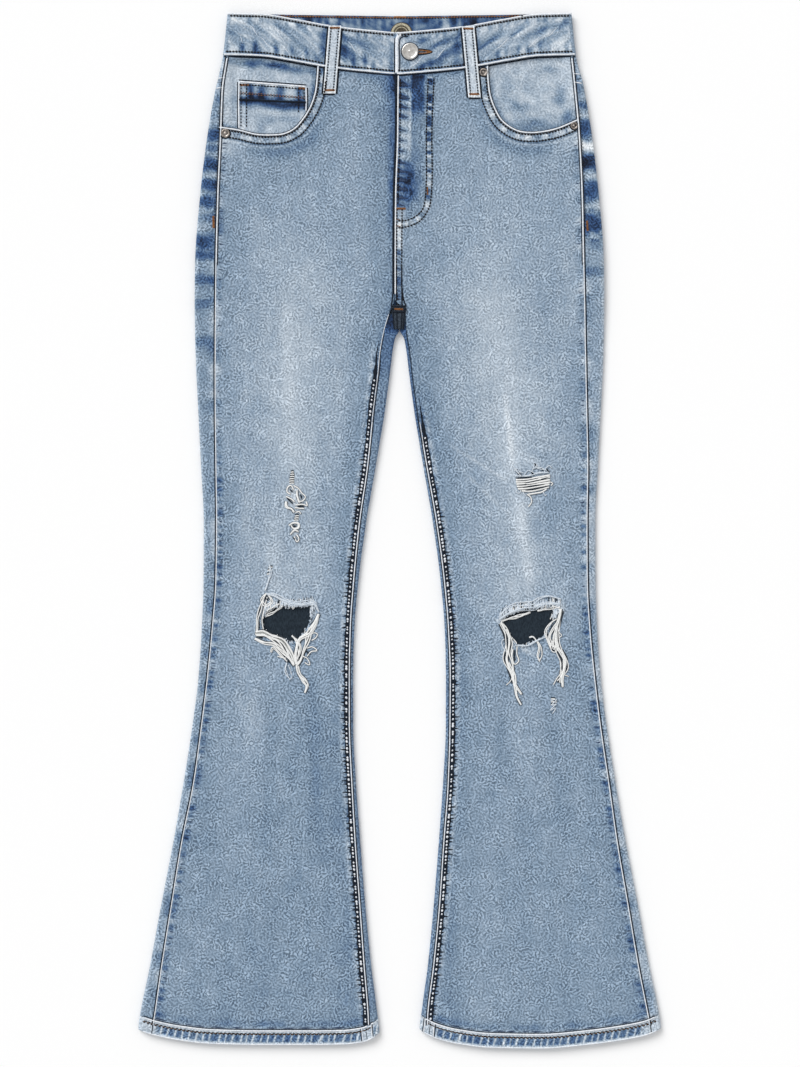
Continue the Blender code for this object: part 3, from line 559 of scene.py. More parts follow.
def shell(name, points, wash, wall, flip, rise=None, around=False, keep=None, inside_wash=-0.06,
          finishes=(PANEL_DENIM, INSIDE_DENIM)):
    """A closed thin shell below a grid of outer points, wall mm thick.

    flip is for a grid whose faces would look inwards. rise lifts its points outwards, in mm. keep is
    False inside a cut hole. inside_wash is what the inner skin's wash differs by.
    """
    rows, columns = points.shape[:2]
    outward = -1 if flip else 1
    points = points.copy()
    if rise is not None:
        points += grid_normals(points, around) * outward * rise[..., None] * MM
    normal = grid_normals(points, around) * outward
    points[..., 2] = np.maximum(points[..., 2], 0.0)
    inner = points - normal * wall * MM
    inner[..., 2] = np.maximum(inner[..., 2], 0.00002)
    outer_faces = grid_faces(rows, columns, around)
    if flip:
        outer_faces = outer_faces[:, ::-1]
    if keep is not None:
        outer_faces = outer_faces[keep.ravel()[outer_faces].any(1)]
    count = rows * columns
    starts = outer_faces.ravel()
    ends = np.roll(outer_faces, -1, 1).ravel()
    reverse = set((ends.astype(np.int64) * count + starts).tolist())
    rim = [k for k, (a, b) in enumerate(zip(starts, ends)) if int(a) * count + int(b) not in reverse]
    a, b = starts[rim], ends[rim]
    rim_faces = np.stack((b, a, a + count, b + count), -1)
    faces = np.concatenate((outer_faces, outer_faces[:, ::-1] + count, rim_faces))
    both = np.concatenate((points.reshape(-1, 3), inner.reshape(-1, 3)))
    shade = np.concatenate((wash.ravel(), wash.ravel() + inside_wash))
    index = np.zeros(len(faces), int)
    index[len(outer_faces):2 * len(outer_faces)] = 1
    made = add_object(name, both, faces, finishes, np.clip(shade, 0.1, 1.0), index)
    cloth_faces.extend((outer_faces + sum(len(p) for p in cloth_points)).tolist())
    cloth_points.append(points.reshape(-1, 3))
    print(f"{name}: {2 * len(faces)} triangles")
    return made


print("shells so far:", len(cloth_points))


# %% What a piece stands for
def flat_area(points, around=False):
    """The area of a grid of points in square metres, the cut's own where the grid is still plain."""
    quads = points.reshape(-1, 3)[grid_faces(*points.shape[:2], around)]
    half_one = np.cross(quads[:, 1] - quads[:, 0], quads[:, 2] - quads[:, 0])
    half_two = np.cross(quads[:, 2] - quads[:, 0], quads[:, 3] - quads[:, 0])
    return float((np.linalg.norm(half_one, axis=1) + np.linalg.norm(half_two, axis=1)).sum() / 2)


def dress(piece, solid, flat=None, grid=None, area=None, slot="denim"):
    """Lets a piece ride and stand for its solid, and works out a sheet's area, which goes nowhere.

    The area is that of the rectangle flat, or of the still plain grid, or the one given.
    """
    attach(piece, "root")
    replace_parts(piece, solid)
    if flat:
        whole = flat[0] * flat[1]
        area = area or (whole if grid is None else min(flat_area(grid), whole))


metre_square = np.array((((0, 0, 0), (0, 1, 0)), ((1, 0, 0), (1, 1, 0))), float)
print("a metre square measures", flat_area(metre_square), "square metres")

# %% [markdown]
# ## The laid-out form
# Laid flat, each leg is a flattened tube: the front panel on top, and the back panel below, which
# is wider and wraps round both folded edges. The upper cloth bulges a little in the middle of the
# leg and dips in a few broad folds.

# %% Heights and curves of the form
FOLDS = (
    # leg, distance from the centre at the top and bottom, start, end, half-width, depth
    ("right", 120, 122, 690, 1010, 14, 0.5), ("right", 165, 178, 700, 1040, 16, 0.6),
    ("right", 85, 70, 760, 1030, 14, 0.5), ("left", 118, 112, 700, 1000, 15, 0.5),
    ("left", 160, 182, 690, 1040, 16, 0.6), ("left", 88, 78, 740, 1030, 14, 0.5),
    ("left", 118, 148, 655, 672, 11, 0.5),
)
YOKE_SIDE = {"right": 72.0, "left": 68.0}
YOKE_CENTRE = 108.0
YOKE_ROW = 72.0
HEM_JOIN = 1042.0
HEM_BLEND = 940.0
WAIST_BLEND = 150.0
FOLD_STEPS = 8
YOKE_BLEND = 120.0


def upper_level(leg, half, down, layers=0.0):
    """The outer side of the upper cloth above the table, in mm, or that many layers above it."""
    turned = smooth((down - CROTCH_TOP) / (CROTCH_END - CROTCH_TOP))
    from_side = LEG.at("side", down) - half
    from_inner = half - LEG.at("inner", down) + (1 - turned) * 120
    level = LEVELS.at("crown", down) * smooth(np.minimum(from_side, from_inner) / 70)
    for top_x, low_x, start, end, width, depth in rows_of(FOLDS, leg):
        along = np.clip((down - start) / (end - start), 0, 1)
        level -= depth * np.sin(np.pi * along) ** 0.5 * near(half - mix(top_x, low_x, along), width)
    return LEVELS.at("height", down) + level + layers * LAYER


print("front stands", float(upper_level("left", 110.0, 450.0)), "mm high at the thigh")


# %% Rows that follow the waist, yoke and hem
def share_across(half, nominal):
    """0 at the leg's outer edge, 1 at its inner edge."""
    side, inner = LEG.at("side", nominal), LEG.at("inner", nominal)
    return np.clip((side - half) / (side - inner), 0, 1)


def bent_down(leg, half, nominal, upper):
    """The real distance down of a row, which follows the waist's, yoke's and hem's curves."""
    seam = HEM.at(leg, share_across(half, nominal)) - HEM_HEIGHT - GAP / 2
    along = np.clip((nominal - HEM_BLEND) / (HEM_JOIN - HEM_BLEND), 0, None)
    low = nominal + (seam - HEM_JOIN) * along * along
    side = LEG.at("side", nominal)
    if upper:
        start, reach, drop = BAND_HEIGHT, WAIST_BLEND - BAND_HEIGHT, waist_edge("front_top", half, side)
    else:
        start, reach = YOKE_ROW, YOKE_BLEND
        share = np.minimum(1.0, np.abs(half) / side)
        drop = (YOKE_CENTRE - YOKE_SIDE[leg]) * (1 - share) + YOKE_SIDE[leg] - YOKE_ROW
    high = nominal + drop * (1 - smooth((nominal - start) / reach))
    return np.where(nominal >= HEM_BLEND, low, high)


def edge_turn(edge, inward, top, bottom, steps):
    """The round fold at a leg's edge, as half-widths and heights of its outer side."""
    radius = (top - bottom) / 2
    centre = edge + inward * radius
    angles = np.pi * np.arange(steps + 1) / steps
    half = centre[..., None] - inward * radius[..., None] * np.sin(angles)
    return half, bottom[..., None] + radius[..., None] * (1 + np.cos(angles))


def both_folds(nominal):
    """The heights of the leg's top and underside at each row, and its outer and inner folds."""
    top, low = LEVELS.at("height", nominal), LEVELS.at("lift", nominal)
    outer = edge_turn(LEG.at("side", nominal), -1, top, low, FOLD_STEPS)
    return top, low, outer, edge_turn(LEG.at("inner", nominal), 1, top, low, FOLD_STEPS)


def rows_between(*stretches):
    """Stations from one place to the next, with a step for each stretch: (start, end, step), ..."""
    rows = [np.arange(start, end, step) for start, end, step in stretches]
    return np.concatenate(rows + [[stretches[-1][1]]])


print("rows from 0 to 10 by 2:", rows_between((0, 10, 2)))

# %% [markdown]
# ## Where the wash has faded
# The finish was sprayed and sanded: palest on the thighs, and darker to the sides, at the inner
# legs and down the shins. Two short tables hold that in percent from raw indigo to white. Listed
# strokes add the smaller marks: pale creases, smudges by the seams, and the shadows of soft folds.

# %% Wash tables of the two front panels
WASH_COLUMNS = ("down", "outer", "outer_mid", "middle", "inner_mid", "inner")
FRONT_WASH = {
    "right": Sizes(WASH_COLUMNS, (
        (60, 60, 60, 58, 60, 50), (150, 62, 60, 61, 63, 55), (240, 57, 64.5, 66, 63, 58),
        (300, 59, 66, 70.5, 65, 56), (370, 60, 66.5, 72, 66.5, 56), (450, 60, 66.5, 71, 65, 54),
        (530, 57, 66.5, 70, 65, 54), (600, 60, 66, 70, 66, 55), (680, 60, 63, 62, 60, 58),
        (760, 58.5, 63, 61, 56, 56), (850, 55.5, 59, 59, 58, 54), (950, 60, 60, 58, 58, 54),
        (1045, 59, 58, 57, 57, 55),
    )),
    "left": Sizes(WASH_COLUMNS, (
        (60, 60, 58, 60, 60, 52), (150, 62, 63, 64, 62, 54), (240, 65, 63, 66, 64, 59),
        (300, 65, 64, 72, 66, 55), (370, 61, 66, 74, 66.5, 55), (450, 61, 66.5, 72, 64, 52),
        (530, 60, 64.5, 71, 64, 55), (600, 60, 66, 70, 65, 53), (680, 58, 61, 64, 61, 54),
        (760, 58, 60, 63, 60.5, 55.5), (850, 58, 59, 59, 61, 56), (950, 57, 60, 59, 60, 55),
        (1045, 57, 59, 59, 60, 54),
    )),
}
print("wash tables:", *FRONT_WASH)

# %% Strokes, and how both are read
STROKES = (
    # leg, from half and down, to half and down, reach, change of wash in percent, change of height
    ("left", 110, 397, 118, 475, 3, 9, 0.3), ("left", 53, 449, 110, 485, 1.6, 7, 0.2),
    ("left", 60, 470, 112, 520, 1.6, 5, 0.2), ("left", 128, 515, 134, 600, 5, 5, 0.3),
    ("left", 142, 380, 150, 450, 9, 5, 0.2), ("left", 112, 690, 96, 830, 7, -3, -0.3),
    ("left", 150, 700, 176, 860, 8, -3, -0.3), ("left", 122, 655, 138, 668, 4, 8, 0.8),
    ("left", 118, 662, 140, 672, 3, -8, -0.6), ("right", 118, 310, 112, 455, 9, 4, 0.2),
    ("right", 136, 556, 130, 600, 5, 4, 0.2), ("right", 92, 690, 84, 860, 7, -4, -0.3),
    ("right", 150, 690, 156, 770, 8, 3, 0.3), ("right", 128, 700, 140, 860, 6, -3, -0.3),
    ("right", 108, 520, 112, 560, 9, -4, 0), ("right", 110, 491, 107, 517, 6, 13, 0.4),
    ("right", 108, 533, 108, 546, 4, 11, 0.3), ("left", 116, 430, 119, 478, 8, 6, 0.2),
    ("left", 128, 458, 146, 470, 6, 5, 0.2), ("left", 128, 504, 124, 545, 8, 7, 0.3),
    ("left", 138, 556, 137, 590, 8, 6, 0.1), ("left", 157, 500, 157, 535, 8, -6, 0),
    ("left", 42, 240, 42, 272, 9, -5, 0),
)


def wash_at(table, across, down):
    """Reads a wash table at a share across the panel, as a number from 0 to 1."""
    columns = np.stack([table.at(name, down) for name in WASH_COLUMNS[1:]])
    at = np.clip(across, 0, 1) * (len(columns) - 1)
    low = np.clip(np.floor(at).astype(int), 0, len(columns) - 2)
    left = np.take_along_axis(columns, low[None], 0)[0]
    right = np.take_along_axis(columns, low[None] + 1, 0)[0]
    return mix(left, right, smooth(at - low)) / 100


def stroke_marks(leg, half, down):
    """What the strokes change: the wash, and the height in mm."""
    wash, rise = np.zeros(half.shape), np.zeros(half.shape)
    for ax, ay, bx, by, reach, change, lift in rows_of(STROKES, leg):
        away, along = to_segment(half, down, (ax, ay), (bx, by))
        mark = near(away, reach) * (0.6 + 0.4 * np.sin(np.pi * along))
        wash += mark * change / 100
        rise += mark * lift
    return wash, rise


print("strokes:", len(STROKES))

# %% [markdown]
# ## Front panels
# Each front panel runs from the waistband to the hem. It is cut away round the pocket mouth and at
# the knee rip. Where a seam gathers it, the cloth puckers: small bumps that the wash left pale, with
# deep blue between. The same pucker value moves the cloth and changes its wash.

# %% Outlines of the mouths, the rips and the fly
MOUTH_EDGE = {
    "right": (
        (84.5, 40), (86, 66), (88, 82), (93.5, 98), (101, 110), (109, 119), (120, 124.6), (133, 126),
        (150, 125.2), (165.9, 121.2), (190, 117.5),
    ),
    "left": (
        (92, 40), (92.8, 70), (95, 86), (100, 99.5), (106, 110), (114, 117), (125, 122.2), (136, 123.5),
        (149, 122.5), (161, 120), (186, 110),
    ),
}
MOUTH_CORNERS = {"right": ((225, 112), (225, 34)), "left": ((225, 98), (225, 34))}
KNEE_RIP = {
    "right": (
        (124, 617), (106, 617.5), (91, 616), (92, 626), (97, 640), (104, 649), (111.8, 653.6), (126, 648),
        (141, 641), (142, 631), (138, 622),
    ),
    "left": (
        (106, 630), (120, 622.5), (141, 618.5), (156, 617), (166, 617.5), (159, 630), (153, 643),
        (140, 653), (122, 656.5), (114, 645),
    ),
}
J_LINE = ((35.9, 66), (33.6, 120), (32.8, 190), (31.7, 199.2), (28.6, 206.4), (21.3, 215.8),
          (10.9, 221), (-3.6, 223.6))
J_INNER = ((29.8, 66), (28, 120), (27, 189), (26.2, 197), (23.4, 205), (16.1, 211.6), (8.8, 215),
           (-3.6, 215.8))
mouth_lines = {leg: Line(points) for leg, points in MOUTH_EDGE.items()}
rip_lines = {leg: Line(points, closed=True) for leg, points in KNEE_RIP.items()}
j_line, j_inner = Line(J_LINE), Line(J_INNER)
fly_outline = [(-12, 60), *j_line.points.tolist(), (-12, 224)]
PUCKER_PITCH = 3.4
print("the J of stitches is", round(float(j_line.along[-1])), "mm long")


# %% Puckers, and the finish of the front
def pucker(along, away, pitch, reach, seed):
    """Uneven bumps along a seam, fading away from it."""
    lumps = cloud(along / pitch, 0.3 * cloud(along / 30, 0, seed + 1), seed)
    return np.clip(1.6 * lumps, -1, 1) * near(away, reach)


print("a pucker on its seam:", float(pucker(5.0, 0.0, 9.0, 5.0, 11)))

# %% The outseam's finish
WEDGE_PITCH = 8.3


def outseam_finish(leg, half, down):
    """The gathered outseam, on either side of its line: relief in mm and wash."""
    inward = LEG.at("outseam_" + leg, down) - half
    away = np.abs(inward)
    seed = 11 if leg == "right" else 12
    lumps = pucker(down, away - 2, 9.0, 5.0, seed)
    ridge = near(away - 1.5, 2.5)
    turn = down / WEDGE_PITCH + 0.3 * cloud(down / 9, 0, seed + 2)
    wedge = near((turn - np.floor(turn) - 0.5) * WEDGE_PITCH, 2.0) * near(inward - 3.6, 3.0)
    wedge *= np.clip(0.75 + 0.8 * cloud(np.floor(turn) * 3.7, 0, seed + 4), 0, 1.3)
    low_down = 0.30 + 1.00 * smooth((down - 380) / 140)
    shade = 0.10 * lumps + 0.03 * ridge - 0.21 * wedge * low_down
    return 0.35 * lumps + 0.3 * ridge - 0.3 * wedge * low_down, shade


print("outseam, relief and wash:", *outseam_finish("left", 193.0, 600.0))

# %% The inseam's finish
CHANNEL_TOP = {"right": 345.0, "left": 405.0}


def inseam_finish(leg, half, down):
    """The inseam: gathered cloth with a pale margin beside the dark overlocked channel."""
    from_seam = half - LEG.at("inseam_" + leg, down)
    below = smooth((down - CHANNEL_TOP[leg] + 15) / 40)
    lumps = pucker(down, from_seam - 6.5, 4.0, 3.0, 21 if leg == "right" else 22)
    shade = -0.10 * near(from_seam - 3.2, 2.8) + 0.10 * lumps + 0.10 * near(from_seam - 8.5, 2.2)
    return below * (0.25 * lumps - 0.25 * near(from_seam - 3.2, 2.6)), below * shade


print("inseam, relief and wash:", *inseam_finish("left", 50.0, 600.0))


# %% The pocket mouth's finish
def mouth_finish(leg, half, down):
    """The turned and topstitched edge of the pocket mouth, about 10 mm wide."""
    away, along = mouth_lines[leg].nearest(half, down)[:2]
    band = smooth(away / 1.2) * (1 - smooth((away - 9.5) / 2.0))
    lumps = pucker(along, away - 5.5, PUCKER_PITCH, 3.2, 31 if leg == "right" else 32)
    rise = 0.45 * band + 0.25 * lumps - 0.35 * near(away - 10.5, 0.9) - 0.3 * near(away - 3.2, 0.8)
    # the dark line at 10.4 mm, just outside the turned band, is painted shadow
    shade = 0.15 * lumps + 0.10 * band - 0.10 * near(away - 3.2, 0.9) - 0.20 * near(away - 10.4, 1.2)
    below = near(along - 97, 42) * (np.abs(half) < 160)
    corner = near(along - 156, 20) * (away > 8)
    # painted shadow below the mouth's lower run, and a paler place by its outer corner
    shade = shade - 0.10 * near(away - 19, 7.5) * below + 0.10 * near(away - 20, 13) * corner
    return rise, shade + 0.08 * near(away - 13.2, 1.5) * (along > 60)


print("mouth, relief and wash:", *mouth_finish("left", 100.0, 106.0))

# %% The fly's finish
FLY_SMUDGES = (
    # dark wedges beside the fly's first row of stitches: down, depth
    (74, 0.2), (87, 0.26), (97, 0.2), (107, 0.16), (121, 0.09), (132, 0.07), (143, 0.09), (155, 0.15),
    (164, 0.2), (173, 0.22), (182, 0.24), (191, 0.2), (199, 0.12),
)


def fly_finish(leg, half, down):
    """The fly: a doubled strip from its edge to the J of stitches, and the seam below it."""
    edge = LEG.at("inseam_" + leg, down)
    from_edge = half - edge
    if leg == "right":
        # painted shadow cast by the fly's edge onto the right front, deepest next to it
        shade = -0.22 * near(from_edge + 1, 3.0) - 0.08 * near(from_edge - 4, 5.0)
        shade = shade * (1 - smooth((down - 205) / 30)) - 0.10 * near(down - 75, 12) * near(from_edge - 5, 8)
        bars = np.clip(1.5 * cloud(0.2 * half, down / 8, 46), 0, 1) * (1 - smooth((down - 190) / 30))
        shade -= 0.14 * bars * near(from_edge - 4.5, 3.5)
        return 0 * half, shade - 0.06 * near(from_edge, 6) * (1 - smooth((down - 330) / 30))
    inside = within(half, down, fly_outline)
    away, along = j_line.nearest(half, down)[:2]
    depth = np.where(inside, away, -away)
    rise = 0.7 * smooth(depth / 2.5)
    channel = near(depth - 3.0, 2.4)
    lumps = pucker(along, depth - 3.0, 3.3, 2.6, 41)
    smudge = 0 * half
    for at, deep in FLY_SMUDGES:
        smudge -= 3.2 * deep * near(down - at - 0.25 * (from_edge - 4), 3.0) * near(from_edge - 2.0, 9.0)
    strip = (0.15 + 0.09 * near(down - 125, 30)) * near(from_edge - 6.5, 4.5)
    strip += 0.27 * near(from_edge - 12.8, 1.5) * smooth((down - 78) / 8) * (1 - smooth((down - 145) / 14))
    strip *= 1 - 0.8 * near(down - 70, 12)
    blue = smooth((from_edge - 13.2) / 1.5) * (1 - smooth((from_edge - 26) / 4))
    blue = blue * (0.10 + 0.90 * (1 - smooth((down - 94) / 16))) * (1 - smooth((down - 165) / 30))
    blots = 0.8 + 0.35 * cloud(half / 4, down / 8, 43)
    low_blot = near(down - 176, 19) * near(from_edge - 15, 9) * (0.8 + 0.5 * cloud(half / 3, down / 6, 45))
    low = smooth((down - 188) / 10)
    shade = (0.36 - 0.16 * low) * lumps + (0.22 * low - 0.07) * channel + smudge + strip
    shade = shade - 0.36 * blue * blots - 0.40 * low_blot - 0.04 * channel
    shade = np.where(inside | (np.abs(depth) < 1.5), shade, 0)
    above = 1 - smooth((down - 222) / 4)
    rise_seam = (1 - above) * (1 - smooth((down - 292) / 10))
    seam_lumps = pucker(down, from_edge - 3.5, 2.6, 2.6, 44)
    rise += rise_seam * (0.3 * near(from_edge - 3.5, 3.5) + 0.25 * seam_lumps)
    pale_top = 1 - smooth((down - 243) / 6)
    shade += rise_seam * (0.20 - 0.12 * pale_top) * seam_lumps
    shade += rise_seam * (0.36 * pale_top - 0.10) * near(from_edge - 4.3, 3.2)
    return rise + 0.3 * lumps * above, shade * above + shade * rise_seam


print("unfaded wedges beside the fly:", len(FLY_SMUDGES))


# %% The rips' finish, and the whole front's
def rip_finish(leg, half, down):
    """The cloth round a knee rip: a rolled, pale, frayed rim."""
    away, along = rip_lines[leg].nearest(half, down)[:2]
    above = smooth((640 - down) / 20)
    lumps = cloud(along / 2.6, away / 2.5, 51)
    roll = near(away - 2.2, 3.0) * above
    return 1.0 * roll + 0.35 * lumps * near(away, 5) * above, 0.09 * roll + 0.12 * lumps * near(away - 3, 4.5)


def front_finish(leg, half, down):
    """Everything that lies on the plain front: relief in mm, and wash from 0 to 1."""
    across = (LEG.at("outseam_" + leg, down) - half) / (
        LEG.at("outseam_" + leg, down) - LEG.at("inseam_" + leg, down)
    )
    wash = wash_at(FRONT_WASH[leg], across, down)
    rise = 0.15 * cloud(half / 26, down / 44, 61) + 0.08 * cloud(half / 9, down / 14, 62)
    wash = wash + 0.012 * cloud(half / 13, down / 30, 63) + 0.010 * cloud(half / 5, down / 40, 64)
    below_band = down - (BAND_HEIGHT + waist_edge("front_top", half))
    # painted shadow just under the waistband, then uneven tone below it
    wash = wash - 0.07 * near(below_band, 9) + 0.05 * cloud(half / 8, down / 10, 65) * near(below_band, 25)
    for finish in (stroke_marks(leg, half, down)[::-1], outseam_finish(leg, half, down),
                   inseam_finish(leg, half, down), mouth_finish(leg, half, down),
                   fly_finish(leg, half, down), rip_finish(leg, half, down)):
        rise += finish[0]
        wash += finish[1]
    above_hem = bent_down(leg, half, np.full(half.shape, HEM_JOIN), True) - down
    # painted shadow along the top of the hem, then its worn pale edge
    wash -= 0.09 * near(above_hem - 6, 4) * (0.7 + 0.6 * cloud(half / 14, 0, 66))
    wash += 0.14 * near(above_hem, 2.2)
    return rise + 0.3 * near(above_hem, 3), wash


print("pocket mouths", [round(float(line.along[-1])) for line in mouth_lines.values()], "mm long")

# %% Build the front panels
FRONT_ROWS = rows_between((43.3, 150, 1.6), (150, 240, 2.4), (240, 465, 3.2), (465, 555, 1.9),
                          (555, 605, 2.6), (605, 665, 1.5), (665, 1015, 2.5), (1015, 1042, 1.8))
FRONT_COLUMNS = 84
STRIP_MIN = 0.3


def front_panel(leg):
    nominal = FRONT_ROWS[:, None] + np.zeros(FRONT_COLUMNS + 1)
    outseam = LEG.at("outseam_" + leg, FRONT_ROWS) - SEAM / 2
    inseam = LEG.at("inseam_" + leg, FRONT_ROWS) + SEAM / 2
    thick = LEVELS.at("height", FRONT_ROWS) - LEVELS.at("lift", FRONT_ROWS)
    folded = LEG.at("inner", FRONT_ROWS) + thick / 2
    inseam = np.where(FRONT_ROWS > CROTCH_END, np.maximum(inseam, folded + STRIP_MIN + SEAM), inseam)
    half = mix(outseam[:, None], inseam[:, None], np.linspace(0, 1, FRONT_COLUMNS + 1))
    down = bent_down(leg, half, nominal, True)
    plain = place(leg, half, down, upper_level(leg, half, down))
    keep = np.ones(half.shape, bool)
    mouth = np.concatenate((mouth_lines[leg].points, MOUTH_CORNERS[leg]))
    for outline in (mouth, rip_lines[leg].points):
        inside = within(half, down, outline)
        line = Line(outline, step=0.5) if outline is not mouth else mouth_lines[leg]
        closest = line.nearest(half[inside], down[inside])[2]
        half[inside], down[inside] = closest[:, 0], closest[:, 1]
        keep &= ~inside
    rise, wash = front_finish(leg, half, down)
    points = place(leg, half, down, upper_level(leg, half, nominal) + rise)
    made = shell("front_panel_" + leg, points, wash, CLOTH, leg == "left", keep=keep)
    dress(made, "front_leg_" + leg, (0.235, 1.03), plain)


for leg in SIGN:
    front_panel(leg)

# %% [markdown]
# ## Back panels and yokes
# A back panel is wider than the front, so it wraps round both edges of the leg and shows as a strip
# beside each seam. It is drawn as one sheet from the outseam, round under the leg, to the inseam.
# Above the crotch it ends at the centre back seam instead. The yoke carries on from it up to the
# waistband. The washed side strips are blotched where the outseam gathers them.

# %% Sections of the back
STRIP_COLUMNS, UNDER_COLUMNS, INNER_COLUMNS = 8, 36, 5
FLAT_START = 14.0
STRIP_WASH = {"right": 0.575, "left": 0.62}


def back_section(leg, nominal):
    """The outer side of the back at each row, from the outseam round to inseam or centre back."""
    top, low, outer, inner = both_folds(nominal)
    outseam = LEG.at("outseam_" + leg, nominal) + SEAM / 2
    inseam = np.maximum(LEG.at("inseam_" + leg, nominal) - SEAM / 2, inner[0][:, 0] + STRIP_MIN)
    strip_half = mix(outseam[:, None], outer[0][:, :1], np.linspace(0, 1, STRIP_COLUMNS + 1)[:-1])
    blend = smooth((strip_half - outseam[:, None]) / 6)
    strip_high = mix(upper_level(leg, strip_half, nominal[:, None]), top[:, None], blend)
    wrapped_half = np.concatenate((
        inner[0][:, ::-1], mix(inner[0][:, :1], inseam[:, None], np.linspace(0, 1, INNER_COLUMNS + 1)[1:])
    ), 1)
    wrapped_high = np.concatenate((inner[1][:, ::-1], top[:, None] + np.zeros(INNER_COLUMNS)), 1)
    turned = smooth((nominal - CROTCH_TOP) / (CROTCH_END - CROTCH_TOP))[:, None]
    flat_half = np.linspace(FLAT_START, SEAM / 2, wrapped_half.shape[1])
    end_half = mix(flat_half, wrapped_half, turned)
    end_high = mix(low[:, None], wrapped_high, turned)
    under = mix(outer[0][:, -1:], end_half[:, :1], np.linspace(0, 1, UNDER_COLUMNS + 1)[1:-1])
    half = np.concatenate((strip_half, outer[0], under, end_half), 1)
    high = np.concatenate((strip_high, outer[1], low[:, None] + 0 * under, end_high), 1)
    return half, high


print("points across the back:", back_section("left", np.array((500.0, 600.0)))[0].shape[1])

# %% The back's finish
STRIP_BLOTS = (
    # unfaded places on the side strips: leg, down, reach and depth
    ("right", 100, 6, 0.12), ("right", 126, 7, 0.2), ("right", 140, 4, 0.14), ("right", 157, 8, 0.26),
    ("right", 178, 6, 0.2), ("right", 196, 7, 0.26), ("right", 212, 4, 0.12), ("right", 238, 8, 0.22),
    ("right", 252, 5, 0.16), ("right", 277, 5, 0.15), ("right", 302, 6, 0.12), ("right", 342, 6, 0.08),
    ("left", 95, 4, 0.22), ("left", 121, 11, 0.3), ("left", 155, 9, 0.34), ("left", 184, 10, 0.33),
    ("left", 218, 13, 0.33), ("left", 241, 6, 0.14), ("left", 268, 6, 0.1), ("left", 107, 4, -0.08),
    ("left", 139, 4.5, -0.2), ("left", 170, 4, -0.12), ("left", 200, 4, -0.1), ("right", 113, 4, -0.1),
    ("right", 168, 3, -0.1), ("right", 223, 5, -0.08),
)


def back_finish(leg, half, high, down):
    """Relief in mm and wash of the back, on top of its strips and on its hidden underside."""
    on_top = smooth((high - LEVELS.at("lift", down)) / 4)
    near_side = half > 110
    rise, wash = outseam_finish(leg, half, down)
    blots = cloud(down / 10, 0.2 + half / 60, 71 if leg == "right" else 72)
    blotted = smooth((down - 45) / 20) * (1 - 0.75 * smooth((down - 255) / 30))
    side = STRIP_WASH[leg] + 0.07 * np.clip(1.7 * blots, -1.2, 0.8) * blotted
    lumpy = 1 + 0.5 * cloud(half / 5, down / 4, 77)
    for at, reach, deep in rows_of(STRIP_BLOTS, leg):
        side -= 1.15 * deep * near(((down - at) / (reach * lumpy)) ** 2, 1.0)
    side = side + 0.025 * cloud(down / 17, half / 7, 73) + 0.10 * near(LEG.at("side", down) - half, 3)
    # the inner strip: painted shade at its folded edge, and painted shadow towards the crotch
    inner = 0.535 + 0.03 * cloud(down / 21, half / 6, 74) - 0.06 * near(half - LEG.at("inner", down), 2.0)
    shaded_to = 345 if leg == "right" else 400
    inner = inner - 0.10 * (1 - smooth((down - shaded_to) / 60)) - 0.26 * (1 - smooth((down - 322) / 14))
    top_wash = np.where(near_side, side + wash, inner)
    seat = 0.07 * near(half - 95, 50) * near(down - 230, 90)
    seat += 0.05 * near(half - 110, 40) * near(down - 520, 160)
    under = 0.56 + seat + 0.02 * cloud(half / 16, down / 30, 75) - 0.05 * near(half - 203, 8)
    rise = np.where(near_side, rise, 0.1 * cloud(down / 12, half / 4, 76))
    return rise * on_top, mix(under, top_wash, on_top)


print("unfaded places on the strips:", len(STRIP_BLOTS))


# %% Build the back panels and yokes
def back_panel(leg):
    nominal = rows_between((72, 285, 2.6), (285, 345, 1.9), (345, 1042, 3.1))
    half, high = back_section(leg, nominal)
    down = bent_down(leg, half, nominal[:, None] + 0 * half, False)
    plain = place(leg, half, down, high)
    rise, wash = back_finish(leg, half, high, down)
    made = shell("back_panel_" + leg, plain, wash, CLOTH, leg == "right", rise)
    dress(made, "back_leg_" + leg, (0.315, 0.99), plain)


def back_yoke(leg):
    rows = np.linspace(0, 1, 14)
    nominal = mix(BAND_HEIGHT + GAP, YOKE_ROW - GAP, rows)
    half, high = back_section(leg, nominal)
    start = BAND_HEIGHT + GAP + waist_edge("back_top", half, LEG.at("side", nominal)[:, None])
    end = bent_down(leg, half, YOKE_ROW + 0 * half, False) - SEAM
    down = mix(start, end, rows[:, None])
    plain = place(leg, half, down, high)
    rise, wash = back_finish(leg, half, high, down)
    made = shell("back_yoke_shell_" + leg, plain, wash, CLOTH, leg == "right", rise)
    dress(made, "back_yoke_" + leg, (0.21, 0.066), plain)


for leg in SIGN:
    back_panel(leg)
    back_yoke(leg)

# %% [markdown]
# ## Hems
# The leg ends are turned up twice and topstitched, so a hem is twice as thick as the leg. The layers
# creep against each other as they are sewn and washed, which twists the hem like a rope: slanting
# ridges, worn pale, with deep blue between. It is one closed ring round the end of the leg.

# %% Build the hems
ROPE_PITCH = 7.6


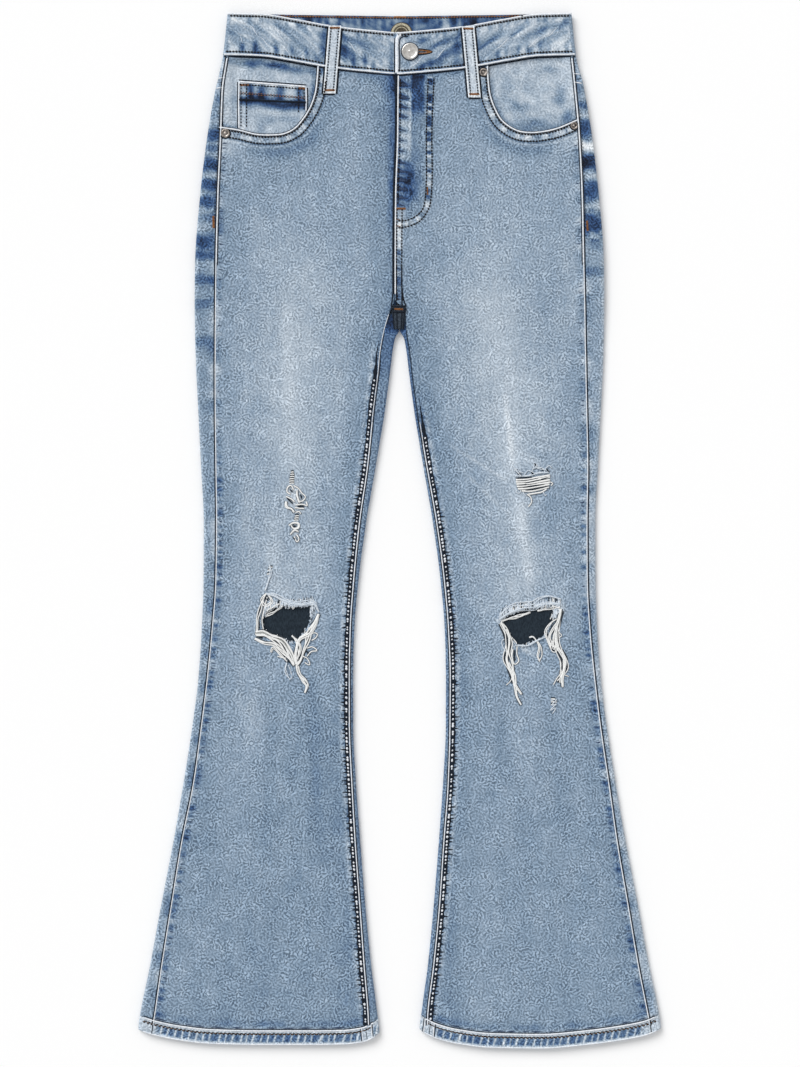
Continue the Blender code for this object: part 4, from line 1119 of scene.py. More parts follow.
def hem_finish(leg, half, v, on_top):
    """Relief and wash of a hem: v runs from 0 at its stitched top to 1 at the folded end."""
    seed = 81 if leg == "right" else 85
    slant = half + 4 * v * (1 if leg == "left" else -1) + 2.2 * cloud(half / 11, 0, seed + 2)
    turn = slant / ROPE_PITCH
    ridge = near((turn - np.floor(turn) - 0.5) * ROPE_PITCH, 1.0)
    valley = cloud(np.floor(turn) * 5.5, 0, seed)
    body = smooth((v - 0.28) / 0.07) * (1 - smooth((v - 0.76) / 0.12))
    from_side = LEG.at("side", 1052) - half
    from_seam = np.abs(half - LEG.at("inseam_" + leg, 1052) - 1.8)
    body = body * smooth((from_side - 15) / 8) * smooth((from_seam - 5) / 3)
    wash = 0.76 + 0.05 * near(v, 0.2) - 0.05 * near(v - 0.26, 0.06) + 0.02 * cloud(half / 6, v, seed + 3)
    wash -= body * (0.33 + 0.08 * valley - 0.42 * ridge + 0.06 * cloud(half / 2.2, 4 * v, seed + 4))
    rise = 0.4 * ridge * body - 0.15 * body - 0.35 * near(v - 0.24, 0.05) + 0.2 * near(v - 0.06, 0.09)
    return rise * on_top - 1.1 * smooth((v - 0.9) / 0.1) ** 2 * on_top, mix(0.58, wash, on_top)


def hem(leg):
    parts = np.linspace(0, 1, 18)
    nominal = mix(HEM_JOIN, LEG_END, parts)
    top, low, outer, inner = both_folds(nominal)
    under = mix(outer[0][:, -1:], inner[0][:, -1:], np.linspace(0, 1, 50)[1:-1])
    over = mix(inner[0][:, :1], outer[0][:, :1], np.linspace(0, 1, 260)[1:-1])
    over_high = upper_level(leg, over, nominal[:, None])
    ease = smooth(np.minimum(over - inner[0][:, :1], outer[0][:, :1] - over) / 6)
    half = np.concatenate((outer[0], under, inner[0][:, ::-1], over), 1)
    high = np.concatenate((outer[1], low[:, None] + 0 * under, inner[1][:, ::-1],
                           mix(top[:, None], over_high, ease)), 1)
    low_edge = HEM.at(leg, share_across(half, nominal[:, None]))
    down = low_edge - (1 - parts[:, None]) * (HEM_HEIGHT - GAP)
    plain = place(leg, half, down, high)
    on_top = smooth((high - 1.5) / 4)
    rise, wash = hem_finish(leg, half, parts[:, None] + 0 * half, on_top)
    made = shell("hem_band_" + leg, plain, wash, HEM_CLOTH, leg == "right", rise, around=True)
    dress(made, "hem_" + leg, (0.52, 0.015))


for leg in SIGN:
    hem(leg)

# %% [markdown]
# ## Waistband
# The waistband is one doubled strip. From the hidden right end it runs across the right front, round
# the back and over the left front to the end that laps over at the button. Washing draws it into
# slanting creases, which lean towards the side seams, and the two rows of stitches pucker its edges.

# %% Build the waistband
UNDERLAP_END = 35.0
UNDERLAP_DROP = 1.3
LAP_END = -4.0
LAP_RISE = 1.0


BAND_UNFADED_AND_SHADE = (
    # unfaded places on the waistband, with painted shadow beside the lap (x -8) and the belt loops (x -78.5,
    # -58, 60, 79.5): x, v, reach along and down, slope, depth
    (-174, 21, 9, 6, 0.2, 0.13), (-163, 35, 2.4, 6, 0, 0.17), (-150, 34, 2.6, 7, 0, 0.27),
    (-129, 35, 2.4, 6, 0, 0.22), (-112, 35, 2.4, 7, 0, 0.24), (-97, 35, 2.4, 6, 0, 0.22),
    (-88, 35, 3, 6, 0, 0.12), (-78.5, 22, 5, 19, 0, 0.24), (-120, 14, 14, 2.2, 0.45, 0.07),
    (-140, 19, 16, 2.5, 0.5, 0.08), (-104, 24, 13, 2.2, 0.6, 0.07), (-58, 22, 5, 16, 0, 0.2),
    (-48, 35, 2.6, 7, 0, 0.26), (-36, 34, 2.6, 8, 0, 0.26), (-27, 36, 2.4, 6, 0, 0.14),
    (-19, 34, 2.5, 7, 0, 0.1), (-44, 13, 13, 2.5, 0.5, 0.12), (-30, 24, 12, 2, 0.7, 0.09),
    (24, 10, 6, 4, 0, 0.17), (42, 15, 13, 3, -0.45, 0.14), (50, 26, 14, 3.5, -0.5, 0.16),
    (30, 34, 14, 3, -0.35, 0.14), (60, 20, 4, 17, 0, 0.2), (79.5, 20, 4, 12, 0, 0.14),
    (93, 21, 12, 2.4, -0.5, 0.2), (120, 17, 12, 1.9, -0.5, 0.2), (102, 36, 2.4, 5, 0, 0.17),
    (111, 35, 2.2, 5, 0, 0.15), (124, 35, 2.2, 5, 0, 0.17), (133, 35, 2.2, 5, 0, 0.15),
    (146, 34, 2.6, 6, 0, 0.18), (148, 17, 15, 3, -0.35, 0.15), (172, 14, 8, 5, -0.3, 0.14),
    (-8, 24, 2.5, 18, 0, 0.13), (12, 58, 6, 6, 0, 0.1), (26, 37, 12, 3, -0.2, 0.12),
    (52, 36, 12, 4, 0, 0.12), (-52, 30, 8, 8, 0.3, 0.1),
)


def band_finish(x, v):
    """Relief in mm and wash of the waistband's front. v is the distance down it in mm."""
    lean = np.where(x < 0, 0.55, -0.55)
    along, across = (x + lean * v) / 1.14, (v - lean * x) / 1.14
    creases = np.clip(1.5 * cloud(along / 21 + 40, across / 4.6, 91), -1, 1)
    fine = cloud(along / 9 + 40, across / 2.4, 92)
    low_pucker = np.clip(1.7 * cloud(x / 4.7 + 40, v / 40, 93), -1, 1) * near(v - 37.5, 5.5)
    top_pucker = np.clip(1.7 * cloud(x / 3.9 + 40, v / 40, 94), -1, 1) * near(v - 6.5, 3.2)
    side = smooth((np.abs(x) - 85) / 30)
    sharp = np.clip(1 - 2.6 * np.abs(cloud(along / 17 + 40, across / 3.6, 97)), 0, 1) ** 2
    wash = mix(0.625, 0.675, side) + 0.07 * creases + 0.06 * fine + 0.13 * sharp
    wash = wash + 0.12 * low_pucker + 0.12 * top_pucker
    for at_x, at_v, along_x, along_v, slope, depth in BAND_UNFADED_AND_SHADE:
        leant = v - at_v - slope * (x - at_x)
        wash -= 1.45 * depth * near(x - at_x, along_x) * near(leant, along_v)
    wash = wash + 0.10 * near(x + 10, 14) * near(v - 28, 12) - 0.08 * near(x - 22, 14) * near(v - 8, 6)
    wash = wash - 0.12 * near(v - 41.5, 1.6) + 0.2 * near(v - 0.5, 1.3)
    rise = 0.35 * creases + 0.2 * sharp + 0.3 * low_pucker + 0.2 * top_pucker - 0.3 * near(v - 3.2, 0.9)
    return rise - 0.3 * near(v - 39.8, 0.9), wash


print("unfaded places on the waistband:", len(BAND_UNFADED_AND_SHADE))


# %% Sew the waistband
def waistband():
    v = np.linspace(0, BAND_HEIGHT, 30)
    side, low = LEG.at("side", v), LEVELS.at("lift", v)
    turn = edge_turn(side, -1, BAND_OUTER + 0 * v, low, 10)
    reach = turn[0][:, :1]
    first = mix(UNDERLAP_END, -reach, np.linspace(0, 1, 171)[:-1])
    back = mix(-reach, reach, np.linspace(0, 1, 150)[1:-1])
    last = mix(reach, LAP_END, np.linspace(0, 1, 151)[1:])
    x = np.concatenate((first, -turn[0], back, turn[0][:, ::-1], last), 1)
    dive = BAND_OUTER - UNDERLAP_DROP * smooth((first + 45) / 40)
    climb = BAND_OUTER + LAP_RISE * smooth((70 - last) / 35)
    high = np.concatenate((dive, turn[1], low[:, None] + 0 * back, turn[1][:, ::-1], climb), 1)
    front = np.zeros(x.shape[1], bool)
    front[:first.shape[1]] = front[-last.shape[1]:] = True
    behind = np.zeros(x.shape[1], bool)
    behind[first.shape[1] + 11:first.shape[1] + 11 + back.shape[1]] = True
    front_edge, back_edge = (waist_edge(which, x, side[:, None]) for which in ("front_top", "back_top"))
    edge = np.where(front, front_edge, np.where(behind, back_edge, 0))
    rise, wash = band_finish(x, v[:, None] + 0 * x)
    inner_lumps = np.clip(1.6 * cloud(x / 4.2 + 40, v[:, None] / 30, 96), -1, 1)
    inside = np.where(behind, 0.45 - wash + 0.20 * inner_lumps * near(v[:, None] - 9, 9), -0.1)
    wash = np.where(front, wash, 0.60 + 0.06 * cloud(x / 8 + 40, v[:, None] / 9, 95))
    down = edge + v[:, None]
    made = shell("waistband_shell", place("left", x, down, high), wash, BAND_CLOTH, True, rise * front,
                 inside_wash=inside.ravel(), finishes=TRIM)
    dress(made, "waistband", (0.79, 0.043))


waistband()

# %% [markdown]
# ## Belt loops, pockets and what lies under the rips
# A belt loop is a folded strip whose edges have worn white, tacked down at both ends. Behind each
# pocket mouth lies the facing, and on the right one the small coin pocket with its turned top. The
# back has two patch pockets and three more loops, which lie against the table. Charcoal jersey
# backs the knees, so the rips show dark.

# %% Belt loops
LOOP_WIDTH = 13.0
LOOP_CLOTH = 1.4
LOOP_ARCH = 0.6
FRONT_LOOPS = (
    # leg, half and down of the top end, half and down of the low end
    ("right", 67.0, 13.2, 72.8, 83.7),
    ("left", 71.2, 14.0, 78.0, 87.8),
)
BACK_LOOPS = (("right", "right", 120), ("left", "left", 120), ("centre", "left", 0))
BACK_LOOP_TOP, BACK_LOOP_LOW = 3.0, 62.0
BACK_CLOTH = 1.05  # what lies between the back and the table is pressed thinner


def loop_finish(across, along):
    """Relief and wash of a loop: across is mm from its middle, along is mm from its end."""
    from_edge = LOOP_WIDTH / 2 - np.abs(across)
    wash = 0.80 + 0.04 * cloud(across / 3, along / 5, 101) + 0.25 * near(from_edge, 1.0)
    wash -= 0.12 * near(from_edge - 2.6, 0.7)
    return 0.25 * near(from_edge - 0.8, 0.8) - 0.25 * near(from_edge - 2.7, 0.7), wash


print("belt loops:", len(FRONT_LOOPS) + len(BACK_LOOPS))


# %% Build the belt loops
def front_loop(leg, top_half, top_down, low_half, low_down):
    seam = float(waist_edge("front_top", top_half, LEG.at("side", 20))) + BAND_HEIGHT
    over_band = BAND_OUTER + GAP + LOOP_CLOTH
    end = float(upper_level(leg, low_half, low_down)) + GAP + LOOP_CLOTH
    path = Sizes(("down", "high"), (
        (top_down, over_band),
        (top_down + 8, over_band + 0.1),
        (top_down + 22, over_band + LOOP_ARCH),
        (seam - 6, over_band + LOOP_ARCH / 2),
        (seam + 4, over_band + 0.1),
        (seam + 12, end + 0.1),
        (low_down, end),
    ))
    rows = np.linspace(top_down, low_down, 56)[:, None]
    across = np.linspace(LOOP_WIDTH / 2, -LOOP_WIDTH / 2, 16) + 0 * rows
    along = (rows - top_down) / (low_down - top_down)
    half = mix(top_half, low_half, along) + across
    rise, wash = loop_finish(across, rows - top_down)
    ends = near(along - 0.02, 0.035) + near(along - 0.98, 0.035)
    points = place(leg, half, rows + 0 * across, path.at("high", rows) + rise + 0.1 * ends)
    made = shell("belt_loop_shell_front_" + leg, points, wash + 0.12 * ends, LOOP_CLOTH, leg == "left",
                 finishes=TRIM)
    dress(made, "belt_loop_front_" + leg, (0.013, 0.075),
          area=0.013 * 0.073)


def back_loop(name, leg, centre):
    rows = np.linspace(BACK_LOOP_TOP, BACK_LOOP_LOW, 30)[:, None]
    across = np.linspace(LOOP_WIDTH / 2, -LOOP_WIDTH / 2, 12) + 0 * rows
    rise, wash = loop_finish(across, rows)
    points = place(leg, centre + across, rows + 0 * across, 0.1 - np.minimum(rise, 0.1))
    made = shell("belt_loop_shell_back_" + name, points, wash, BACK_CLOTH, leg == "right", finishes=TRIM)
    dress(made, "belt_loop_back_" + name, (0.013, 0.059))


for row in FRONT_LOOPS:
    front_loop(*row)
for row in BACK_LOOPS:
    back_loop(*row)


# %% The pocket facings
def under_patch(name, solid, leg, columns, downs, layers, finish, flat, finishes, slot="denim"):
    """A shell below the front panel on its form: columns and downs are its outer and inner edges."""
    across = np.linspace(0, 1, columns[2])
    half = mix(columns[0], columns[1], across) + 0 * downs[0][:, None]
    down = mix(downs[0][:, None], downs[1][:, None], across)
    rise, wash = finish(half, down)
    points = place(leg, half, down, upper_level(leg, half, down, layers) + rise)
    made = shell(name, points, wash, CLOTH, leg == "left", finishes=finishes)
    dress(made, solid, flat, points, slot=slot)


FACING_SMUDGES = (
    # unfaded places on the facings: leg, half, down, reach across and down, depth
    ("right", 172, 92, 3, 20, 0.06), ("right", 90, 78, 3, 16, 0.1), ("left", 167, 82, 6, 14, 0.12),
    ("left", 124, 96, 10, 5, 0.1), ("left", 139, 114, 18, 5, 0.17), ("left", 175, 106, 7, 6, 0.18),
    ("left", 112, 78, 6, 8, 0.07), ("left", 160, 57, 14, 3, 0.07),
)
FACING_LOW, FACING_SLOPE, FACING_DIVE = 190.0, 15.0, 90.0
# the painted shadow below the waistband on the right facing: its drop, reach, middle and reach across
FACING_SHADOW_DROP, FACING_SHADOW_REACH, FACING_SHADOW_MIDDLE, FACING_SHADOW_WIDE = 7.2, 4.0, 128, 52
COIN_OUTER, COIN_INNER = 166.9, 97.2
COIN_TOP_OUTER, COIN_TOP_INNER, COIN_FOOT = 71.3, 76.5, 136


def facing(leg):
    insets = np.concatenate((np.linspace(0, 16, 8), np.linspace(18.5, 108, 38)))
    rows = np.linspace(0, 1, 56)[:, None]
    nominal = mix(BAND_HEIGHT, FACING_LOW, rows)
    half = LEG.at("outseam_" + leg, nominal) - SEAM - insets
    seam = waist_edge("front_top", half, LEG.at("side", nominal)) + BAND_HEIGHT + GAP
    down = mix(seam, FACING_LOW, rows)
    layers = -np.maximum(2 * smooth(insets / FACING_SLOPE), smooth((down - FACING_DIVE) / FACING_SLOPE))
    below_band = down - seam
    wash = 0.73 + 0.05 * cloud(half / 19, down / 9, 111) + 0.035 * cloud(half / 6, down / 5, 112)
    sharp = np.clip(1 - 3 * np.abs(cloud((half + down) / 15, (half - down) / 6, 115)), 0, 1) ** 2
    wash += 0.07 * sharp
    for at_half, at_down, reach_half, reach_down, depth in rows_of(FACING_SMUDGES, leg):
        wavy = at_down + 2.5 * cloud(half / 13, 0, 113)
        wash -= 1.7 * depth * near(half - at_half, reach_half) * near(down - wavy, reach_down)
    if leg == "right":
        wavy = FACING_SHADOW_DROP + 0.8 * cloud(half / 9, 0, 116)
        band_shadow = near(below_band - wavy, FACING_SHADOW_REACH) * near(half - FACING_SHADOW_MIDDLE, FACING_SHADOW_WIDE)
        wash -= 0.42 * band_shadow * (0.85 + 0.5 * cloud(half / 11, down / 6, 117))
    mouth = mouth_lines[leg].nearest(half, down)[0]
    # painted shadow beside the mouth's edge and just under the waistband
    wash = wash - 0.20 * near(mouth, 4.0) * smooth((down - 60) / 20) - 0.06 * near(below_band, 3)
    rise = 0.25 * cloud(half / 14, down / 11, 114)
    points = place(leg, half, down, upper_level(leg, half, down, layers) + rise)
    made = shell("pocket_facing_shell_" + leg, points, wash, CLOTH, leg == "left", finishes=TRIM)
    dress(made, "pocket_facing_" + leg, (0.112, 0.15), points)


for leg in SIGN:
    facing(leg)

# %% The coin pocket, fly underlap and knee backings
COIN_BLOCKS = ((155, 3.5), (144, 3.6), (124, 4.6), (104, 4.2))


def coin_finish(half, down):
    """The coin pocket: a turned top with a shadow below it, and puckered sides."""
    across = (COIN_OUTER - half) / (COIN_OUTER - COIN_INNER)
    from_top = down - mix(COIN_TOP_OUTER, COIN_TOP_INNER, across)
    from_side = np.minimum(COIN_OUTER - half, half - COIN_INNER)
    top = 1 - smooth((from_top - 14.5) / 2)
    lumps = np.clip(1.6 * cloud(half / 5, from_top / 12, 121), -1, 1)
    blocks = sum(near(half - at, reach) for at, reach in COIN_BLOCKS)
    wash = 0.70 + (0.10 * lumps - 0.01 - 0.36 * blocks) * top + 0.3 * near(from_top - 0.8, 1.2)
    shadow = 18.0 + 1.6 * cloud(half / 10, 0, 122) + 2.5 * near(half - 124, 22)
    wash -= 0.50 * near(from_top - shadow, 4.4 + 2.0 * near(half - 124, 22))
    wash += 0.10 * near(from_top - 28 - 0.05 * (half - 132), 4.0) * near(half - 128, 26)
    wash -= 0.10 * near(from_top - 35, 4.0) * near(half - 118, 16)
    wash += 0.08 * (1 - top) * cloud(half / 9, down / 8, 123)
    wash += 0.08 * near(from_side - 4, 3) * (1 - top)
    wash -= 0.10 * near(from_side - 1.8, 0.9)
    wash -= 0.08 * near(from_side - 7.6, 0.9)
    wash += 0.2 * near(from_side, 1)
    return 0.5 * top + 0.2 * lumps * top - 0.2 * near(from_side - 2, 0.8), wash


def jersey_finish(half, down):
    return 0.2 * cloud(half / 12, down / 9, 131), 0.5 + 0 * half


UNDERLAP_ACROSS, UNDERLAP_DOWN = (32, -12), (65.5, 192)


def underlap_finish(half, down):
    return 0 * half, 0.5 + 0.03 * cloud(half / 8, down / 11, 132)


BACKINGS = (
    # leg, outer and inner edge, top and low edge
    ("right", 150, 82, 606, 664), ("left", 176, 97, 607, 668),
)


coin_rows = Sizes(("outer", "inner"), (
    (COIN_TOP_OUTER, COIN_TOP_INNER), (92, 95), (115, 115), (COIN_FOOT, COIN_FOOT),
))
coin_outer = np.linspace(COIN_TOP_OUTER, COIN_FOOT, 46)
under_patch("coin_pocket_shell", "coin_pocket", "right", (COIN_OUTER, COIN_INNER, 50),
            (coin_outer, coin_rows.at("inner", coin_outer)), -1, coin_finish, (0.07, 0.065),
            TRIM)
underlap_rows = np.linspace(*UNDERLAP_DOWN, 44)
under_patch("fly_underlap_shell", "fly_underlap", "left", (*UNDERLAP_ACROSS, 18),
            (underlap_rows, underlap_rows), -2, underlap_finish, (0.044, 0.127), TRIM)
for leg, outer, inner, top, low in BACKINGS:
    backing_rows = np.linspace(top, low, 24)
    under_patch("knee_backing_shell_" + leg, "knee_backing_" + leg, leg, (outer, inner, 28),
                (backing_rows, backing_rows), -1, jersey_finish,
                ((outer - inner) * MM, (low - top) * MM), (JERSEY_AND_GAP_SHADE, JERSEY_AND_GAP_SHADE), "dark_cloth")

# %% [markdown]
# ## The crotch
# Four seams meet where the legs part, in one overlocked lump that bridges the gap. It could be part
# of a front panel, but it lies across both, so it is a small sheet of its own on four rows of widths.
# Its dark slate colour is painted shade, as the lump lies in the crotch's shadow.

# %% The crotch's seam end
CROTCH_SEAM_TOP, CROTCH_SEAM_LOW = 303.5, 328.5
CROTCH_SEAM = Sizes(("down", "right", "left"), (
    (CROTCH_SEAM_TOP, -8.6, 6.6), (311, -8.0, 6.4), (320, -6.6, 5.4), (CROTCH_SEAM_LOW, -5.7, 4.8),
))


def crotch_seam():
    """One flat lump with the ridges of two seams, laid over both front panels."""
    down = np.linspace(CROTCH_SEAM_TOP, CROTCH_SEAM_LOW, 16)[:, None]
    x = mix(CROTCH_SEAM.at("right", down), CROTCH_SEAM.at("left", down), np.linspace(0, 1, 20))
    high = LEVELS.at("height", down) + 1.15 - 0.25 * near(np.abs(x + 0.6) - 3.2, 0.6) + 0 * x
    points = place("left", x, down + 0 * x, high)
    # its dark slate colour is painted shade
    made = shell("crotch_seam_end", points, 0.3 + 0 * x, 0.8, False, finishes=(SEAM_END_SHADE, SEAM_END_SHADE))
    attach(made, "root")


crotch_seam()

# %% Back pockets
BACK_POCKET = ((28, 128), (166, 120), (168, 262), (98, 290), (30, 268))
POCKET_TOP, POCKET_LOW, POCKET_OUTER, POCKET_INNER = 119, 291, 169, 27
POCKET_AREA = 0.0212


def back_pocket(leg):
    outline = np.array(BACK_POCKET, float)
    down, half = np.meshgrid(np.linspace(POCKET_TOP, POCKET_LOW, 60),
                             np.linspace(POCKET_OUTER, POCKET_INNER, 50), indexing="ij")
    inside = within(half, down, outline)
    closed = np.concatenate((outline, outline[:1]))
    best = np.full(half.shape, 1e9)
    half_on, down_on = half.copy(), down.copy()
    for start, end in zip(closed, closed[1:]):
        away, along = to_segment(half, down, start, end)
        nearer = away < best
        best = np.where(nearer, away, best)
        half_on = np.where(nearer, mix(start[0], end[0], along), half_on)
        down_on = np.where(nearer, mix(start[1], end[1], along), down_on)
    half, down = np.where(inside, half, half_on), np.where(inside, down, down_on)
    from_edge = np.where(inside, best, 0)
    seam = np.abs(down - mix(132, 122, (half - 28) / 138) - 14)
    wash = 0.57 + 0.03 * cloud(half / 15, down / 14, 141) + 0.12 * near(from_edge, 1.2)
    wash = wash - 0.05 * near(from_edge - 2.5, 0.9) - 0.05 * near(seam, 1.5) + 0.05 * near(from_edge - 5.5, 3)
    high = 0.08 + 0.08 * near(from_edge - 2.5, 1.0)
    made = shell("back_pocket_shell_" + leg, place(leg, half, down, high), wash, BACK_CLOTH,
                 leg == "right", keep=inside)
    dress(made, "back_pocket_" + leg, (0.14, 0.17), area=POCKET_AREA)


for leg in SIGN:
    back_pocket(leg)

# %% [markdown]
# ## Threads, edges and stitches
# Whatever is sewn on has to lie on the cloth, so its height is measured: a ray is dropped onto the
# shells at each point of its path. A cord of cloth or yarn is a tube. A stitch is a short tube that
# dives in at both ends, and each colour of thread is joined into one piece.

# %% Measure the cloth, and draw tubes on it
cloth = BVHTree.FromPolygons(np.concatenate(cloth_points).tolist(), cloth_faces)


def resting(path, under=False, strict=False):
    """Points in metres on top of the cloth, or below it. Off the cloth, height is kept or is nan."""
    lying = []
    for x, y in path:
        start = (x, y, -0.02 if under else 0.04)
        hit = cloth.ray_cast(start, (0, 0, 1 if under else -1))[0]
        missed = np.nan if strict else (lying[-1][2] if lying else 0.006)
        lying.append((x, y, hit.z if hit else missed))
    return np.array(lying)


def on_cloth(leg, half, down, under=False, strict=False):
    """Pattern places as points in metres that rest on the cloth."""
    return resting(place(leg, half, down, 0)[:, :2], under, strict)


def laid(leg, points, step=1.5, lift=0.0, under=False, smoothed=True, wide=0.0):
    """A path through pattern places, as points in metres that rest on the cloth.

    A path that is wide mm on each side lies on the highest cloth under it.
    """
    flat = Line(points, step=step).points
    path = on_cloth(leg, flat[:, 0], flat[:, 1], under)
    for sideways in ((-wide, wide) if wide else ()):
        beside = on_cloth(leg, flat[:, 0] + sideways, flat[:, 1] + 0.5 * sideways, under)
        path[:, 2] = np.maximum(path[:, 2], beside[:, 2])
    if smoothed and len(path) > 5:
        soft = np.convolve(np.pad(path[:, 2], 2, "edge"), np.ones(5) / 5, "valid")
        path[:, 2] = np.maximum(path[:, 2], soft) if not under else np.minimum(path[:, 2], soft)
    path[:, 2] += lift * MM
    return path


print("cloth faces to rest on:", len(cloth_faces))


# %% Heaps and tubes
class Heap:
    """Points and faces that are gathered into one piece."""

    def __init__(self):
        self.points, self.faces, self.count = [], [], 0

    def add(self, points, faces):
        self.points.append(points)
        self.faces.extend((np.asarray(face) + self.count).tolist() for face in faces)
        self.count += len(points)

    def make(self, name, finish, slot="thread"):
        made = add_object(name, np.concatenate(self.points), self.faces, (finish,))
        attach(made, "root")
        triangles = sum(len(face) - 2 for face in self.faces)
        print(f"{name}: {triangles} triangles")
        return made


def tube(heap, path, radius, sides=6, squash=1.0):
    """A round cord along a path, its radius in mm the same or given for each point."""
    run = np.gradient(path, axis=0)
    run /= np.maximum(np.linalg.norm(run, axis=1), 1e-12)[:, None]
    side = np.cross(run, (0, 0, 1.0))
    side /= np.maximum(np.linalg.norm(side, axis=1), 1e-12)[:, None]
    up = np.cross(side, run)
    radius = (np.zeros(len(path)) + radius)[:, None, None] * MM
    angle = 2 * np.pi * np.arange(sides) / sides
    rings = path[:, None] + radius * (
        np.cos(angle)[None, :, None] * side[:, None] + squash * np.sin(angle)[None, :, None] * up[:, None]
    )
    caps = [list(range(sides)), list(range(len(path) * sides - 1, (len(path) - 1) * sides - 1, -1))]
    heap.add(rings.reshape(-1, 3), [*grid_faces(len(path), sides, True).tolist(), *caps])


print("the cloth at the thigh:", laid("left", ((110, 440), (110, 450), (110, 460)))[0])


# %% Stitches
def stitches(heap, starts, ends, radius):
    """Short tubes between pairs of points in metres, lifted in the middle."""
    for start, end in zip(starts, ends):
        if np.isnan(start[2] + end[2]) or abs(start[2] - end[2]) > 0.003:
            continue
        middle = (start + end) / 2 + (0, 0, 0.5 * radius * MM)
        low = (0, 0, -0.5 * radius * MM)
        tube(heap, np.array((start + low, middle, end + low)), np.array((0.6, 1, 0.6)) * radius, 4)


def stitch_row(heap, leg, points, pitch=3.2, length=2.5, radius=0.34, under=False, lift=0.0):
    """A row of lockstitch along a path of pattern places."""
    line = Line(points)
    starts = np.arange(0, line.along[-1] - length, pitch)
    ends = []
    for at in (starts, starts + length):
        ends.append(on_cloth(leg, *line.at(at).T, under, True))
    stitches(heap, ends[0] + (0, 0, lift * MM), ends[1] + (0, 0, lift * MM), radius)


def bar_tack(heap, leg, start, end, width=2.0, under=False):
    """A dense zigzag that locks a seam's end: short threads across it, close together."""
    line = np.linspace(start, end, max(3, int(np.hypot(*np.subtract(end, start)) / 0.6)))
    run = np.subtract(end, start) / np.hypot(*np.subtract(end, start))
    side = np.array((-run[1], run[0])) * width / 2
    above = on_cloth(leg, line[:, 0], line[:, 1], under, True)
    offset = place(leg, side[0], LENGTH / 2 + side[1], 0)
    slip = place(leg, run[0] * 0.3, LENGTH / 2 + run[1] * 0.3, 0)
    stitches(heap, above - offset - slip, above + offset + slip, 0.42)


trial = Heap()
stitch_row(trial, "left", ((110, 400), (110, 450), (110, 500)))
print("stitches in 100 mm:", len(trial.points))

# %% [markdown]
# ## Worn seam edges
# At every seam one layer is folded over another. The fold stands proud, so washing wears it white,
# and a dark line runs beside it, where the next layer lies in its shadow. Each fold is drawn as a
# thin cord of worn cloth, and the dark line as a dark navy cord of painted shadow.

# %% Seam lines of the front
white, seam_shadow = Heap(), Heap()
SEAM_STEP = 12.0
LAP_BREAK = (-5.0, -2.6)  # the X on either side of the lap's edge, where a row of the band stops


def down_seam(leg, seam, start, end, offset=0.0):
    """Places down the outseam or the inseam, offset mm further out from the centre line."""
    down = np.linspace(start, end, max(3, int((end - start) / SEAM_STEP)))
    return np.stack((LEG.at(f"{seam}_{leg}", down) + offset, down), -1)


def across_band(start, end, v, count=24):
    """Places along the waistband, v mm below its top edge, from one X to another."""
    x = np.linspace(start, end, count)
    return np.stack((x, waist_edge("front_top", x, LEG.at("side", v)) + v), -1)


def loop_row(row, offset, top_inset, low_inset):
    """Three places down a front loop, offset mm from its middle."""
    top_half, top_down, low_half, low_down = row
    middle = (mix(top_half, low_half, 0.5) + offset, (top_down + low_down) / 2)
    return (top_half + offset, top_down + top_inset), middle, (low_half + offset, low_down - low_inset)


def band_spans(v, ends):
    """The parts of the waistband between its ends, its loops and its lap, from -X to +X."""
    cuts = []
    for leg, top_half, top_down, low_half, low_down in FRONT_LOOPS:
        seam = float(waist_edge("front_top", top_half)) + v
        middle = mix(top_half, low_half, (seam - top_down) / (low_down - top_down))
        cuts.append(-middle if leg == "right" else middle)
    left, right = sorted(cuts)
    reach = LOOP_WIDTH / 2 + 0.2
    before, after = LAP_BREAK
    return ((-ends, left - reach), (left + reach, before), (after, right - reach), (right + reach, ends))


def hem_line(leg, v, start=0.02, end=0.98, count=26):
    """Places along a hem, v from 0 at its stitched top to 1 at the fold."""
    share = np.linspace(start, end, count)
    nominal = mix(HEM_JOIN, LEG_END, v)
    half = mix(LEG.at("side", nominal), LEG.at("inner", nominal), share)
    return np.stack((half, HEM.at(leg, share) - (1 - v) * (HEM_HEIGHT - GAP)), -1)


def worn(leg, points, radius, wide=0.8, **lie):
    tube(white, laid(leg, points, wide=wide, **lie), radius)


def shadowed(leg, points, radius, **lie):
    tube(seam_shadow, laid(leg, points, **lie), radius)


print("rows of the waistband:", band_spans(0.6, 178.6))

# %% Cords down the legs
MOUTH_OUT = {}
for leg in SIGN:
    pocket = np.concatenate((mouth_lines[leg].points, MOUTH_CORNERS[leg]))
    MOUTH_OUT[leg] = -1 if within(*mouth_lines[leg].beside(2)[60], pocket) else 1

